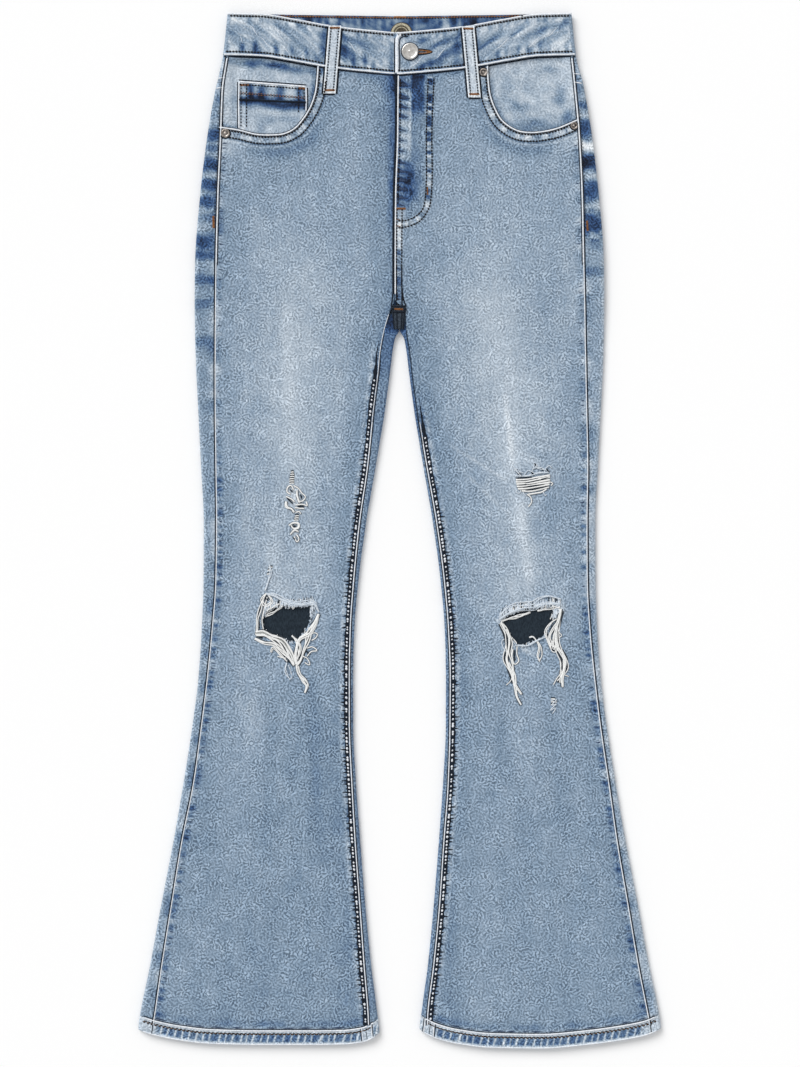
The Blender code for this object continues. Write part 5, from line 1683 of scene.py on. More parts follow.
INSEAM_WORN = {"right": (313, 425), "left": (425, 448)}  # where the fold starts to show, and in full
SEAM_LOW = 1052
for leg in SIGN:
    thin_from, full_from = INSEAM_WORN[leg]
    for draw, seam, start, end, offset, radius, lift in (
        (worn, "outseam", 47, 260, -0.4, 0.78, 0),
        (worn, "outseam", 258, SEAM_LOW, -0.2, 0.58, 0),
        (shadowed, "outseam", 45, SEAM_LOW, 1.1, 0.6, 0.1),
        (shadowed, "outseam", 45, 262, -1.9, 0.6, -0.15),
        # partly wear and partly a painted highlight: the thin pale cord where the inseam's fold starts, along
        # the front's folded edge by the crotch
        (worn, "inseam", thin_from, full_from + 4, 0.5, 0.36, 0),
        (worn, "inseam", full_from, SEAM_LOW, 0.3, 0.6, 0),
        (shadowed, "inseam", 332, full_from, -0.7, 0.32, 0),
        (shadowed, "inseam", CHANNEL_TOP[leg] + 15, SEAM_LOW, -0.9, 0.5, 0),
    ):
        draw(leg, down_seam(leg, seam, start, end, offset), radius, lift=lift)
    mouth, out = mouth_lines[leg], MOUTH_OUT[leg]
    worn(leg, mouth.beside(0.7 * out)[15:-1:3], 0.85)
    shadowed(leg, mouth.beside(-0.6 * out)[15:-1:3], 0.6)
    shadowed(leg, mouth.beside(1.9 * out)[17:-1:3], 0.4, lift=-0.05)
    for v, radius in ((0.02, 0.8), (0.97, 0.7)):
        worn(leg, hem_line(leg, v), radius)
    shadowed(leg, np.subtract(hem_line(leg, 0.0), (0, 1.2)), 0.45)
    side, inner = (float(LEG.at(name, 1054)) for name in ("side", "inner"))
    outseam, inseam = (float(LEG.at(name + leg, 1054)) for name in ("outseam_", "inseam_"))
    for half, draw, radius in ((outseam + 0.6, shadowed, 0.5), (inseam - 4.4, shadowed, 0.45),
                               (inseam - 3.2, worn, 0.5), (inseam + 6.4, worn, 0.5),
                               (inseam + 7.7, shadowed, 0.5), (inseam + 2.2, shadowed, 0.3)):
        share = (side - half) / (side - inner)
        top, foot = (hem_line(leg, v, share, share, 1)[0] for v in (0.03, 0.97))
        draw(leg, (top, mix(top, foot, 0.5), foot), radius)
    for down in ((67.1, 77.5) if leg == "right" else (62.9, 72.3)):
        edge = float(LEG.at("side", down))
        worn(leg, ((edge - 7.5, down - 0.5), (edge - 4, down), (edge - 0.6, down + 0.6)), 0.6)
print("points of the cords so far:", white.count, "and", seam_shadow.count)

# %% Cords on the waistband, the fly and the crotch
for start, end in band_spans(0.6, 178.6):
    worn("left", across_band(start, end, 0.6), 0.9)
for start, end in band_spans(42.6, 182.3):
    worn("left", across_band(start, end, 42.6), 0.95)
    shadowed("left", across_band(start, end, 44.6), 0.9, lift=-0.2)
lap = np.array(((1.6, 22.6), (-0.8, 23.6), (-2.2, 26), (-2.7, 32), (-2.7, 45), (-2.7, 62.5)))
tube(white, laid("left", lap, wide=0.8), 1.75, 8, 0.45)
shadowed("left", lap[2:] - (2.5, 0), 0.6)
shadowed("left", ((9, 24.2), (3.5, 24.8), (0.9, 26.6), (0.1, 30), (0.1, 45), (0.1, 60)), 0.55, lift=0.2)
fly_edge = down_seam("left", "inseam", 65, 292, 0.6)
worn("left", fly_edge, 0.8)
shadowed("left", fly_edge - (2.0, 0), 1.25)
for start, flare in ((-6.6, -8.6), (-3.2, -3.4), (2.4, 2.6), (2.4, 6.4)):
    shadowed("left", ((start, 262), (start, 282), (mix(start, flare, 0.3), 294), (flare, 304.5)), 0.7)
for middle, radius in (((-7.6, 307.6), 1.5), ((5.6, 307.8), 1.3)):
    shadowed("left", np.add(((-1.4, 0), (0, 0), (1.4, 0)), middle), radius, lift=0.1)
for across in (-6.9, -2.9, 2.4, 4.9):
    run = [(mix(across, -0.5, lean), down) for lean, down in ((0, 310), (0.08, 318), (0.2, 328))]
    shadowed("left", run, 0.62, lift=0.1)
for down in (304.6, 310.4):
    shadowed("left", ((-8.8, down), (-1, down + 0.3), (6.6, down)), 0.85, lift=0.15)
print("points of the cords so far:", white.count, "and", seam_shadow.count)

# %% Cords of the coin pocket and the loops
coin_top = ((COIN_OUTER, COIN_TOP_OUTER), (150, 72.5), (120, 74.7), (COIN_INNER, COIN_TOP_INNER))
worn("right", np.subtract(coin_top, (0, 0.3)), 0.95)
shadowed("right", np.subtract(coin_top, (0, 2.4)), 0.6)
for draw, side, bulge, downs, radius in (
    # the coin pocket's two sides: half of the ends, how far the middle bulges, three places down
    (worn, COIN_OUTER, 0.3, (71, 95, 119.5), 0.75),
    (worn, COIN_INNER, -0.3, (76.5, 90, 101.5), 0.7),
    (shadowed, COIN_OUTER + 1.5, 0.3, (71, 95, 119), 0.5),
    (shadowed, COIN_INNER - 1.5, -0.3, (77, 90, 100), 0.5),
):
    draw("right", np.stack(((side, side + bulge, side), downs), -1), radius)
shadowed("right", ((COIN_OUTER, 89.5), (150, 90.2), (120, 91.6), (COIN_INNER, 92.4)), 1.15)
for leg, *row in FRONT_LOOPS:
    for offset in (-LOOP_WIDTH / 2 - 1.0, LOOP_WIDTH / 2 + 1.0):
        shadowed(leg, loop_row(row, offset, 1, 0), 0.9, smoothed=False)
    shadowed(leg, np.add(((-5.5, 0.8), (0, 1), (5.5, 0.8)), row[2:]), 0.7)
BAND_RIDGES = (
    # thin worn creases on the waistband: x and v of each end
    (-156.6, 11, -147, 23), (-147, 23, -134, 34), (-131, 13, -119, 26), (-123.6, 29.5, -115, 36),
    (-166, 24, -163, 31), (-54, 14, -44, 26), (12, 36, 27, 25), (36, 31, 48, 20), (98, 30, 116, 19),
    (132, 34, 146, 23), (152, 24, 165, 14),
)
for ax, av, bx, bv in BAND_RIDGES:
    x = np.linspace(ax, bx, 4)
    bend = np.array((0, 1.6, 0.2, 0)) * (1 if bx > 0 else -1)
    v = np.linspace(av, bv, 4) + bend
    top = waist_edge("front_top", x, LEG.at("side", v))
    path = laid("left", np.stack((x, top + v), -1), lift=-0.12)
    tube(white, path, 0.1 + 0.22 * np.sin(np.linspace(0, np.pi, len(path))), 6)
white.make("worn_and_highlit_seam_edges", WORN_AND_LIT_EDGE, "denim")
seam_shadow.make("painted_shadow_in_seams", NAVY_THREAD_AND_SHADOW)

# %% [markdown]
# ## Unfaded and shaded creases
# Between the puckers of a seam lie short sharp creases. Their slate blue is partly dye that no wash
# reached and partly painted shade in the bottom of the crease. Each is a flat tapered cord there, a
# few millimetres long. They follow the gathers: 3.4 mm apart at the pocket mouths, 6 to 7 mm down the
# long seams, 3 mm on the seam below the fly, and in uneven runs above the hems, where they are painted
# shadow along the hem's top edge.

# %% Short dark creases beside the seams
creases = Heap()
rng = np.random.default_rng(17)


def crease(leg, start, end, radius, peak=0.35):
    """One tapered crease from one pattern place to another, widest at the peak's share of it."""
    path = laid(leg, (start, mix(np.array(start), np.array(end), 0.5), end), 0.9, -0.05, smoothed=False)
    t = np.linspace(0, 1, len(path))
    taper = np.where(t < peak, t / peak, (1 - t) / (1 - peak))
    tube(creases, path, radius * np.clip(taper, 0.12, 1) ** 0.7, 6, 0.3)


for leg in SIGN:
    mouth, out = mouth_lines[leg], MOUTH_OUT[leg]
    near_side, far_side = mouth.beside(4.0 * out), mouth.beside(9.2 * out)
    for at in np.arange(30, len(near_side) - 3, PUCKER_PITCH):
        k, reach, chance = int(at), rng.uniform(0.3, 1.0), rng.uniform()
        if chance < (0.35 if at < 80 else 0.9):
            crease(leg, near_side[k], mix(near_side[k], far_side[k], reach), rng.uniform(0.3, 0.6))
    for down in np.arange(128, 1036, 7.0) + rng.uniform(-2, 2, 130):
        reach, slant = rng.uniform(3, 6.5), rng.uniform(-0.6, 1.4)
        if rng.uniform() < (0.8 if down > 700 or down < 240 else 0.45):
            seam = float(LEG.at("outseam_" + leg, down)) - 2.6
            crease(leg, (seam, down), (seam - reach, down + slant), rng.uniform(0.5, 1.0), 0.25)
    for down in np.arange(CHANNEL_TOP[leg] + 30, 1036, 6.0):
        reach, slant = rng.uniform(2, 5), rng.uniform(-1.2, 1.2)
        if rng.uniform() < 0.6:
            seam = float(LEG.at("inseam_" + leg, down)) + 5.6
            crease(leg, (seam, down), (seam + reach, down + slant), rng.uniform(0.4, 0.75), 0.2)
for down, deep in FLY_SMUDGES:
    edge = float(LEG.at("inseam_left", down)) + 4.2
    crease("left", (edge - 0.6, down), (edge + 5 + 14 * deep, down + 1.6), 6.5 * deep + 0.4, 0.15)
for down in np.arange(248, 300, 2.9):
    lean = rng.uniform(-1.4, 1.4)
    crease("left", (-3.0 + rng.uniform(0, 1.5), down), (1.4, down + lean), rng.uniform(0.35, 0.75))
for leg in SIGN:
    above_hem = np.subtract(hem_line(leg, 0.0, count=80), (0, 2.6))
    k = 2
    while k < 74:
        run, thick = int(rng.integers(3, 7)), rng.uniform(0.45, 1.05)
        crease(leg, above_hem[k], above_hem[min(k + run, 78)], thick, 0.5)
        k += run + int(rng.integers(0, 3))
creases.make("unfaded_and_shaded_creases", CREASE_SHADE, "denim")

# %% [markdown]
# ## The inner leg seam
# The inseam is flat-felled and hard worn. Its overlocked channel shows as a dark band, and the
# looper thread crosses it in white rungs. The band is a flattened cord with an uneven edge.

# %% The inseam's channel and rungs
CHANNEL_END = {"right": 1052.0, "left": 1049.0}
channel, rungs = Heap(), Heap()
for leg in SIGN:
    path = laid(leg, down_seam(leg, "inseam", CHANNEL_TOP[leg] - 5, CHANNEL_END[leg], 3.4), step=1.2)
    t = np.arange(len(path)) * 1.2
    width = smooth(t / 60 + 0.15) * (2.5 + 0.7 * cloud(t / 3.1, 0, 141) + 0.35 * cloud(t / 40, 0, 142))
    tube(channel, path, np.maximum(0.25, width), 8, 0.16)
    toward_front = np.array((SIGN[leg], 0, 0)) * MM
    for at in np.arange(30, len(path) - 4, 3.4):
        k, reach = int(at), 2.6 + 3.2 * float(cloud(at / 2.7, 0, 145))
        if reach > 2 and t[k] > 120:
            bar = path[k] + toward_front * np.array((1.5, 1.5 + reach / 2, 1.5 + reach))[:, None]
            tube(channel, resting(bar[:, :2]) + (0, 0, 0.0001), np.array((0.9, 0.7, 0.25)), 6, 0.5)
    for at in np.arange(12, len(path) - 2, 3.4):
        k = min(len(path) - 1, int(at + 1.2 * float(cloud(at / 3, 0, 144))))
        size = (1.0 + 0.35 * float(cloud(at / 4, 0, 143))) * min(1, 0.35 + t[k] / 80)
        if t[k] < 40 and k % 2:
            continue
        lean = np.array((0.45 * SIGN[leg] * size, 0.95 * size, 0)) * MM
        middle = path[k] + (0, 0, 0.0005)
        thick = np.array((0.6, 1, 0.6)) * 1.02 * size
        tube(rungs, np.array((middle - lean, middle, middle + lean)), thick, 6)
channel.make("inseam_channel", NAVY_THREAD_AND_SHADOW)
rungs.make("inseam_rungs", WORN_AND_LIT_EDGE)

# %% [markdown]
# ## Topstitching
# Topstitching holds each fold down and shows as rows of short dashes. Most rows here are dark brown,
# the hems and tacks are rust, and the inner legs have two faded rows in a dark channel. A dash is
# 2.5 mm long, eight to the inch.

# %% Rows of stitches
brown, rust = Heap(), Heap()


def coin_side(inset, low):
    half = (COIN_OUTER if inset > 0 else COIN_INNER) - inset
    top = float(np.interp(-half, (-COIN_OUTER, -COIN_INNER), (COIN_TOP_OUTER, COIN_TOP_INNER)))
    return (half, top + 2), (half, mix(top, low, 0.5)), (half, low)


for leg in SIGN:
    mouth, out = mouth_lines[leg], MOUTH_OUT[leg]
    stitch_row(brown, leg, mouth.beside(2.9 * out)[18:-1:4], radius=0.9, length=2.7)
    stitch_row(brown, leg, mouth.beside(9.7 * out)[30:-1:4], radius=0.95, length=2.9)
    chain = hem_line(leg, 0.25)
    stitch_row(brown, leg, np.subtract(chain, (0, 0.4)), pitch=4.2, radius=0.7, length=3.9)
    stitch_row(brown, leg, np.add(chain, (1.6, 0.6)), pitch=4.2, radius=0.6, length=3.4)
    stitch_row(rust, leg, np.add(chain, (0.8, 0.1)), pitch=4.2, radius=0.3, length=1.8, lift=0.45)
    stitch_row(brown, leg, down_seam(leg, "outseam", 100, 225, 2.6), radius=0.35)
    stitch_row(rust, leg, hem_line(leg, 0.25), radius=0.4, under=True)
for start, end in band_spans(3.3, 180):
    stitch_row(brown, "left", across_band(start + 0.5, end - 0.5, 2.7), radius=1.12, length=2.9)
for start, end in band_spans(39.6, 181):
    stitch_row(brown, "left", across_band(start + 0.5, end - 0.5, 39.7), radius=1.05, length=2.8)
x = np.linspace(-127, 127, 26)
inner_edge = np.stack((x, waist_edge("back_top", x) + 1.6), -1)
stitch_row(rust, "left", inner_edge, 3.0, 2.6, 0.85, lift=BAND_CLOTH)
stitch_row(brown, "left", inner_edge + (1.5, 1.0), 3.0, 1.8, 0.55, lift=BAND_CLOTH)
tube(rust, laid("left", ((-5.7, 3.3), (0, 3.2), (6.8, 3.3)), lift=BAND_CLOTH), 1.0, 6, 0.6)
for leg, *row in FRONT_LOOPS:
    for offset in (-3.9, 3.9):
        stitch_row(brown, leg, loop_row(row, offset, 2, 2), 2.9, 2.3, 0.8)
    for end_half, end_down in (np.add(row[:2], (0.2, 2.4)), np.add(row[2:], (-0.2, -3.4))):
        bar_tack(rust, leg, (end_half - 5, end_down), (end_half + 5, end_down), 2.8)
print("points of brown and rust thread:", brown.count, "and", rust.count)

# %% Rows of the fly and the coin pocket
stitch_row(brown, "left", down_seam("left", "inseam", 68, 200, 2.9), radius=0.8, length=2.6)
stitch_row(brown, "left", j_line.points[2:-1:5], radius=0.95, length=2.8)
stitch_row(brown, "left", j_inner.points[2:-1:5], radius=0.9, length=2.8)
for offset in (2.0, 7.3):
    stitch_row(brown, "left", down_seam("left", "inseam", 203, 300, offset), radius=0.8, length=2.9)
for inset, low in ((2.0, 119), (7.8, 121), (-2.0, 101), (-7.8, 106)):
    stitch_row(brown, "right", coin_side(inset, low), radius=0.72)
for drop in (10.6, 12.2):
    stitch_row(rust, "right", np.add(coin_top, (0, drop)), radius=0.36)
stitch_row(brown, "right", np.add(coin_top, (0, 2.3)), radius=0.85, length=2.8)
stitch_row(brown, "right", np.add(coin_top, (1.5, 11.4)), radius=0.5, length=2.4)
print("points of brown and rust thread:", brown.count, "and", rust.count)

# %% Bar tacks
BAR_TACKS = (
    # leg, half and down of one end, half and down of the other, width
    ("right", 165.5, 74.5, 157, 74.3, 2.8), ("right", 105, 77.8, 98.5, 78.2, 2.8),
    ("left", -3.2, 203.3, 6, 203.3, 2.8), ("left", 29, 181, 29.2, 188.5, 1.8),
    ("left", -4, 214.5, -0.5, 214.5, 1.2), ("left", -4, 221, 0.5, 221.5, 1.2),
    ("right", 193.2, 211, 193, 223, 3.2), ("left", 194.6, 216, 195.6, 226, 2.8),
    ("left", -5, 307.4, 3.4, 307.7, 2.4),
)
for leg, ax, ay, bx, by, width in BAR_TACKS:
    bar_tack(rust, leg, (ax, ay), (bx, by), width)
print("bar tacks:", len(BAR_TACKS))

# %% The keyhole and the painted shadow rims
BUTTON_AT = (10.9, 40.0)
BUTTON_RIM = 8.9
SLOT_DOWN = BUTTON_AT[1] + 0.4
SLOT_END = 33.8
shadow_rims = Heap()
# the keyhole's dark lips and its dark middle are painted shade
for side in (-1, 1):
    lip = np.array(((18.5, 3.2), (23, 2.9), (28, 2.2), (32, 1.2), (34.2, 0))) * (1, side)
    tube(shadow_rims, laid("left", lip + (0, SLOT_DOWN)), 0.6)
    tube(rust, laid("left", lip * (0.975, 0.52) + (0, SLOT_DOWN), lift=0.25), 0.62)
bar_tack(rust, "left", (SLOT_END - 5.5, SLOT_DOWN), (SLOT_END - 0.5, SLOT_DOWN), 2.2)
tube(shadow_rims, laid("left", [(x, SLOT_DOWN) for x in (19, 24, 27)], lift=-0.1), 0.5, squash=0.6)


def circle(half, down, radius, steps=61):
    """Places on a circle about a pattern place."""
    angle = np.linspace(0, 2 * np.pi, steps)
    return np.stack((half + radius * np.cos(angle), down + radius * np.sin(angle)), -1)


# a painted contact shadow under the button's rim
tube(shadow_rims, laid("left", circle(*BUTTON_AT, BUTTON_RIM), lift=0.3), 0.7, 8)
RIVETS = (
    # node, leg, half, down, and the radius of the face in mm
    ("rivet_right_low", "right", 181.0, 124.8, 4.8),
    ("rivet_left_top", "left", 87.4, 61.4, 4.4),
    ("rivet_left_low", "left", 181.5, 117.0, 4.0),
)
# a painted shadow round each rivet, and painted shade in its groove
for _, leg, half, down, face in RIVETS:
    for share, thick, lift in ((1.1, 0.55, 0.0), (0.475, 0.42, 0.35)):
        tube(shadow_rims, laid(leg, circle(half, down, face * share), lift=lift), thick, 6)
shadow_rims.make("painted_shadow_rims", NAVY_THREAD_AND_SHADOW)

# %% Rows on the back
BACK_STITCH = (3.6, 2.7)  # pitch and length
corners = np.array(BACK_POCKET, float)
inward = corners.mean(0) - corners
inward /= np.linalg.norm(inward, axis=1)[:, None]
for leg in SIGN:
    for inset in (2.5, 8.5):
        inner = corners + inward * inset * 1.25
        ring = np.concatenate((inner[1:], inner[:1]))
        for start, end in zip(ring, ring[1:]):
            stitch_row(brown, leg, (start, (start + end) / 2, end), *BACK_STITCH, under=True)
    across = np.linspace(2, 196, 20)
    yoke = bent_down(leg, across, YOKE_ROW + 0 * across, False)
    for offset in (3.0, 9.0):
        stitch_row(brown, leg, np.stack((across, yoke + offset), -1), *BACK_STITCH, under=True)
    for offset in (3.0, 9.0):
        stitch_row(brown, leg, ((offset, 48), (offset, 170), (offset, 290)), *BACK_STITCH, under=True)
for v in (5.0, 40.0):
    x = np.linspace(-176, 176, 30)
    row = np.stack((x, waist_edge("back_top", x) + v), -1)
    stitch_row(brown, "left", row, *BACK_STITCH, under=True)
for name, leg, centre in BACK_LOOPS:
    for down in (BACK_LOOP_TOP + 3, BACK_LOOP_LOW - 3):
        bar_tack(rust, leg, (centre - 5, down), (centre + 5, down), 2.4, under=True)
brown.make("dark_topstitching", DARK_THREAD)
rust.make("rust_topstitching", RUST_THREAD)

# %% [markdown]
# ## Torn threads
# A rip in denim breaks the blue warp first. The white weft stays, so it hangs across the hole and
# down from its edges in bundles, and short blue ends curl up along the lip. Each thread is a curve
# through listed places. Thick ones are drawn as a few strands that wander about it, as real bundles
# do. Under each weft lies a wider cord of yarn in painted shade, and where the threads leave a gap
# open, a short dark cord of painted shadow is laid for it.

# %% Threads, one by one
STRANDS = {
    # yarn, how many strands, their spread and radius in mm, then half and down of each place
    "fray_knee_right": (
        ("weft", 2, 0.8, 0.5, 140, 605.5, 144.5, 617.5, 147, 629, 148.5, 640.5, 149.5, 646.5),
        ("weft", 1, 0.5, 0.5, 137.5, 607, 141, 620, 143, 630, 141.5, 640.5),
        ("weft", 4, 1.5, 0.75, 149.5, 644, 142, 643, 132, 647.5, 122.5, 651, 117, 659, 112, 668.5, 108.5,
         677.5),
        ("weft", 3, 1.2, 0.7, 149, 646.5, 141, 646.5, 130.5, 651, 122.5, 657, 118, 663.5, 113.5, 672,
         109.5, 678),
        ("weft", 3, 1.1, 0.6, 150.5, 650, 141, 654, 130.5, 656, 122.5, 663.5, 115.5, 670, 110, 678),
        ("weft", 3, 1.3, 0.7, 84, 624.5, 88.5, 636, 96, 646.5, 103, 651, 106.5, 659, 108.5, 668.5, 107,
         677.5), ("weft", 3, 1.3, 0.6, 86, 629, 93, 641.5, 96, 653.5, 99.5, 663.5, 103, 673, 106.5, 678),
        ("weft", 1, 0.3, 0.55, 96, 660, 91.5, 658.5, 86, 662.5, 91.5, 663.5, 96, 668.5),
        ("weft", 1, 0.3, 0.5, 100.5, 668.5, 96, 670.5, 93.5, 677.5, 98.5, 675),
        ("weft", 1, 0.3, 0.5, 92.5, 646.5, 89, 644, 85.5, 645, 88, 650, 91.5, 652),
        ("weft", 3, 0.9, 0.6, 107, 677.5, 105, 687, 100.5, 693.5, 96, 698.5, 98.5, 706.5),
        ("weft", 1, 0.4, 0.6, 105, 678.5, 103, 687, 97.5, 692.5, 95.5, 697, 97.5, 703),
        ("fray", 2, 0.8, 0.45, 117.5, 675, 118.5, 682, 117, 688, 113.5, 693),
        ("fray", 1, 0.5, 0.45, 115.5, 677.5, 113.5, 683.5, 112, 690.5, 115, 692.5),
        ("weft", 2, 0.7, 0.5, 133.5, 664.5, 132, 660, 127, 663.5, 121.5, 668.5, 117, 674),
        ("weft", 1, 0.4, 0.45, 127, 668.5, 122.5, 669.5, 118, 670.5),
        ("weft", 2, 1, 0.5, 138.5, 603.5, 143.5, 610.5, 140, 616.5, 133, 611.5, 136.5, 605),
        ("weft", 2, 0.7, 0.55, 140, 627, 130.5, 622.5, 121, 616.5),
        ("weft", 2, 0.7, 0.5, 139.5, 624, 132.5, 618.5, 124.5, 614),
        ("fray", 5, 1.6, 0.6, 138.5, 603.5, 130.5, 605, 122.5, 609.5, 114.5, 613, 106.5, 614.5, 98.5,
         615, 89, 614, 84, 623),
        ("fray", 2, 1.2, 0.55, 134, 603, 126, 605, 118, 609, 109, 612, 99, 612, 91, 611, 86, 614),
        ("fray", 2, 0.7, 0.5, 135, 573, 134, 582, 137, 592, 140, 600),
        ("weft", 3, 1, 0.6, 112, 647, 107, 652, 104, 662, 106, 672),
    ),
    "fray_knee_left": (
        ("weft", 3, 0.8, 0.6, 105.5, 632, 117, 628.5, 129, 625.5, 136, 622.5),
        ("weft", 3, 0.8, 0.6, 143.5, 621.5, 154, 618.5, 167, 617.5),
        ("weft", 3, 0.9, 0.6, 105.5, 633, 111.5, 640, 114, 649, 113, 662, 111.5, 671, 115, 680.5, 118.5,
         687.5, 120, 699, 122, 710.5, 126.5, 719),
        ("weft", 2, 0.9, 0.55, 106.5, 635.5, 112.5, 644.5, 116, 654, 115, 664.5, 117, 673.5, 118.5, 683,
         119.5, 694.5, 124, 703.5, 127, 708),
        ("weft", 1, 0.3, 0.55, 116, 648, 121.5, 655, 122, 666.5, 124, 673.5, 120, 677, 117, 669, 118,
         661), ("fray", 1, 0.3, 0.45, 109, 650.5, 106.5, 652.5, 108, 659.5, 110.5, 663.5),
        ("weft", 1, 0.3, 0.4, 118, 687.5, 115, 694.5, 111, 698.5),
        ("weft", 2, 0.5, 0.5, 135, 649, 138, 648, 142.5, 652.5, 145, 659.5, 144, 669, 146, 674),
        ("weft", 1, 0.4, 0.45, 143, 652, 147.5, 659.5, 147.5, 669, 145, 673.5),
        ("weft", 3, 1.1, 0.6, 168, 619, 166, 628.5, 164, 637.5, 163.5, 648, 164.5, 657.5, 168, 664.5,
         172, 673.5, 170.5, 683, 169, 692, 169.5, 700.5),
        ("weft", 2, 0.6, 0.5, 163.5, 629.5, 157, 634, 152, 643.5, 154, 650.5, 157.5, 661),
        ("weft", 2, 0.8, 0.55, 164.5, 632, 159, 640, 156.5, 648, 160, 657.5, 163.5, 659.5),
        ("weft", 1, 0.3, 0.4, 164, 634, 166, 643.5, 168.5, 647, 166, 649),
        ("weft", 1, 0.3, 0.45, 166.5, 671, 171, 687.5, 176, 689.5),
        ("weft", 1, 0.3, 0.45, 168.5, 685, 163.5, 692, 160, 698),
        ("fray", 2, 0.5, 0.5, 120, 657, 132.5, 657, 142.5, 652.5, 152, 648),
        ("fray", 1, 0.4, 0.45, 157, 715, 163.5, 713, 158.5, 719.5, 163.5, 717.5, 157, 724.5, 162.5, 722,
         159, 728),
        ("fray", 5, 1.8, 0.55, 104.5, 630, 111.5, 625, 122, 620, 132.5, 619, 141, 619, 147, 615.5, 156,
         613.5, 167, 614.5),
        ("fray", 2, 1.6, 0.5, 103, 628, 110, 620, 121, 614.5, 130, 614, 138, 613, 146, 608, 156, 606,
         168, 609),
        ("weft", 4, 2.2, 0.45, 168, 621, 165, 634, 162, 646, 163, 656, 167, 664, 171, 674, 169, 686, 167,
         696), ("weft", 3, 1.8, 0.45, 105, 634, 110, 646, 112.5, 660, 111, 672, 115, 684, 119, 696),
        ("weft", 2, 1.6, 0.45, 168, 662, 173, 672, 172, 682, 168, 690, 164, 694),
        ("weft", 2, 1.2, 0.4, 161, 650, 158, 657, 161, 662, 165, 658, 163, 651),
    ),
    "fray_thigh_right": (
        ("weft", 1, 0.3, 0.55, 110, 491, 105, 494, 101.5, 499, 98, 502.5, 101, 507, 105, 507.5),
        ("weft", 1, 0.3, 0.6, 113, 500, 117, 497.5, 116, 492.5, 113, 491, 110, 495.5),
        ("weft", 1, 0.4, 0.6, 118, 502.5, 114, 504, 109, 508),
        ("weft", 2, 0.8, 0.7, 118, 507.5, 117.5, 513, 112, 515.5, 109.5, 519),
        ("weft", 2, 0.7, 0.55, 106.5, 496, 106, 504, 104, 509),
        ("weft", 1, 0.3, 0.6, 108, 511, 98.5, 511, 96, 512, 97, 507.5),
        ("weft", 1, 0.3, 0.6, 108.5, 514, 104.5, 514.5, 99, 515),
        ("weft", 1, 0.4, 0.55, 108, 519, 104.5, 518, 102.5, 520.5),
        ("weft", 2, 0.6, 0.6, 115, 532.5, 110.5, 530, 105, 531, 105, 534.5, 110.5, 535.5, 112.5, 532.5),
        ("weft", 2, 0.6, 0.55, 113.5, 542, 109.5, 537.5, 105, 539),
        ("weft", 1, 0.5, 0.55, 109.5, 544, 106.5, 549.5, 104.5, 546, 107, 542),
    ),
    "fray_thigh_left": (
        ("weft", 1, 0.3, 0.8, 121, 485, 133, 484.5, 146, 482, 156.5, 480),
        ("weft", 1, 0.3, 0.8, 121, 487.3, 133, 486.5, 145.5, 484.3, 156.5, 482),
        ("weft", 1, 0.3, 0.8, 121.5, 489.5, 133, 489, 145.5, 486.8, 156.5, 485),
        ("weft", 1, 0.3, 0.8, 122, 492, 133, 491.3, 145.5, 489.2, 156.5, 487.5),
        ("weft", 1, 0.3, 0.8, 123, 494.5, 133, 494, 145.5, 491.8, 156, 489.7),
        ("weft", 1, 0.3, 0.75, 127, 496.7, 136.5, 496.7, 146, 494.7, 155.5, 492.5),
        ("weft", 1, 0.3, 0.65, 134, 500, 142, 499, 148, 497.5, 153, 494.5),
        ("fray", 1, 0.3, 0.5, 121.5, 495.5, 122, 499, 125, 498.5, 126, 496),
        ("fray", 1, 0.3, 0.5, 128.5, 497.5, 129.5, 500, 132, 502),
        ("weft", 1, 0.3, 0.5, 132.5, 500, 136.5, 503.5, 137.5, 507.5, 134, 513),
        ("weft", 1, 0.3, 0.5, 155.5, 487, 159.5, 489, 157.5, 491),
        ("fray", 1, 0.3, 0.5, 149.5, 498, 152, 501.5, 152.5, 500),
        ("fray", 2, 0.6, 0.45, 117.5, 469.5, 121, 475, 127, 481),
        ("fray", 2, 0.7, 0.45, 140, 466.5, 142.5, 470.5, 139, 474),
        ("fray", 2, 0.9, 0.45, 142, 472, 149.5, 474, 155.5, 475.5),
        ("fray", 1, 0.4, 0.45, 119, 476, 123, 473, 125, 477, 129, 478),
        ("fray", 1, 0.4, 0.45, 130, 480, 134, 475, 138, 477, 141, 479),
        ("fray", 1, 0.4, 0.4, 137, 478, 140, 469, 138.5, 464),
        ("fray", 1, 0.4, 0.45, 150, 479, 153, 472, 156, 470, 158, 473),
        ("fray", 2, 0.8, 0.45, 120, 481, 130, 481, 141, 478.5, 155, 477),
    ),
}
print("torn threads:", sum(len(rows) for rows in STRANDS.values()))

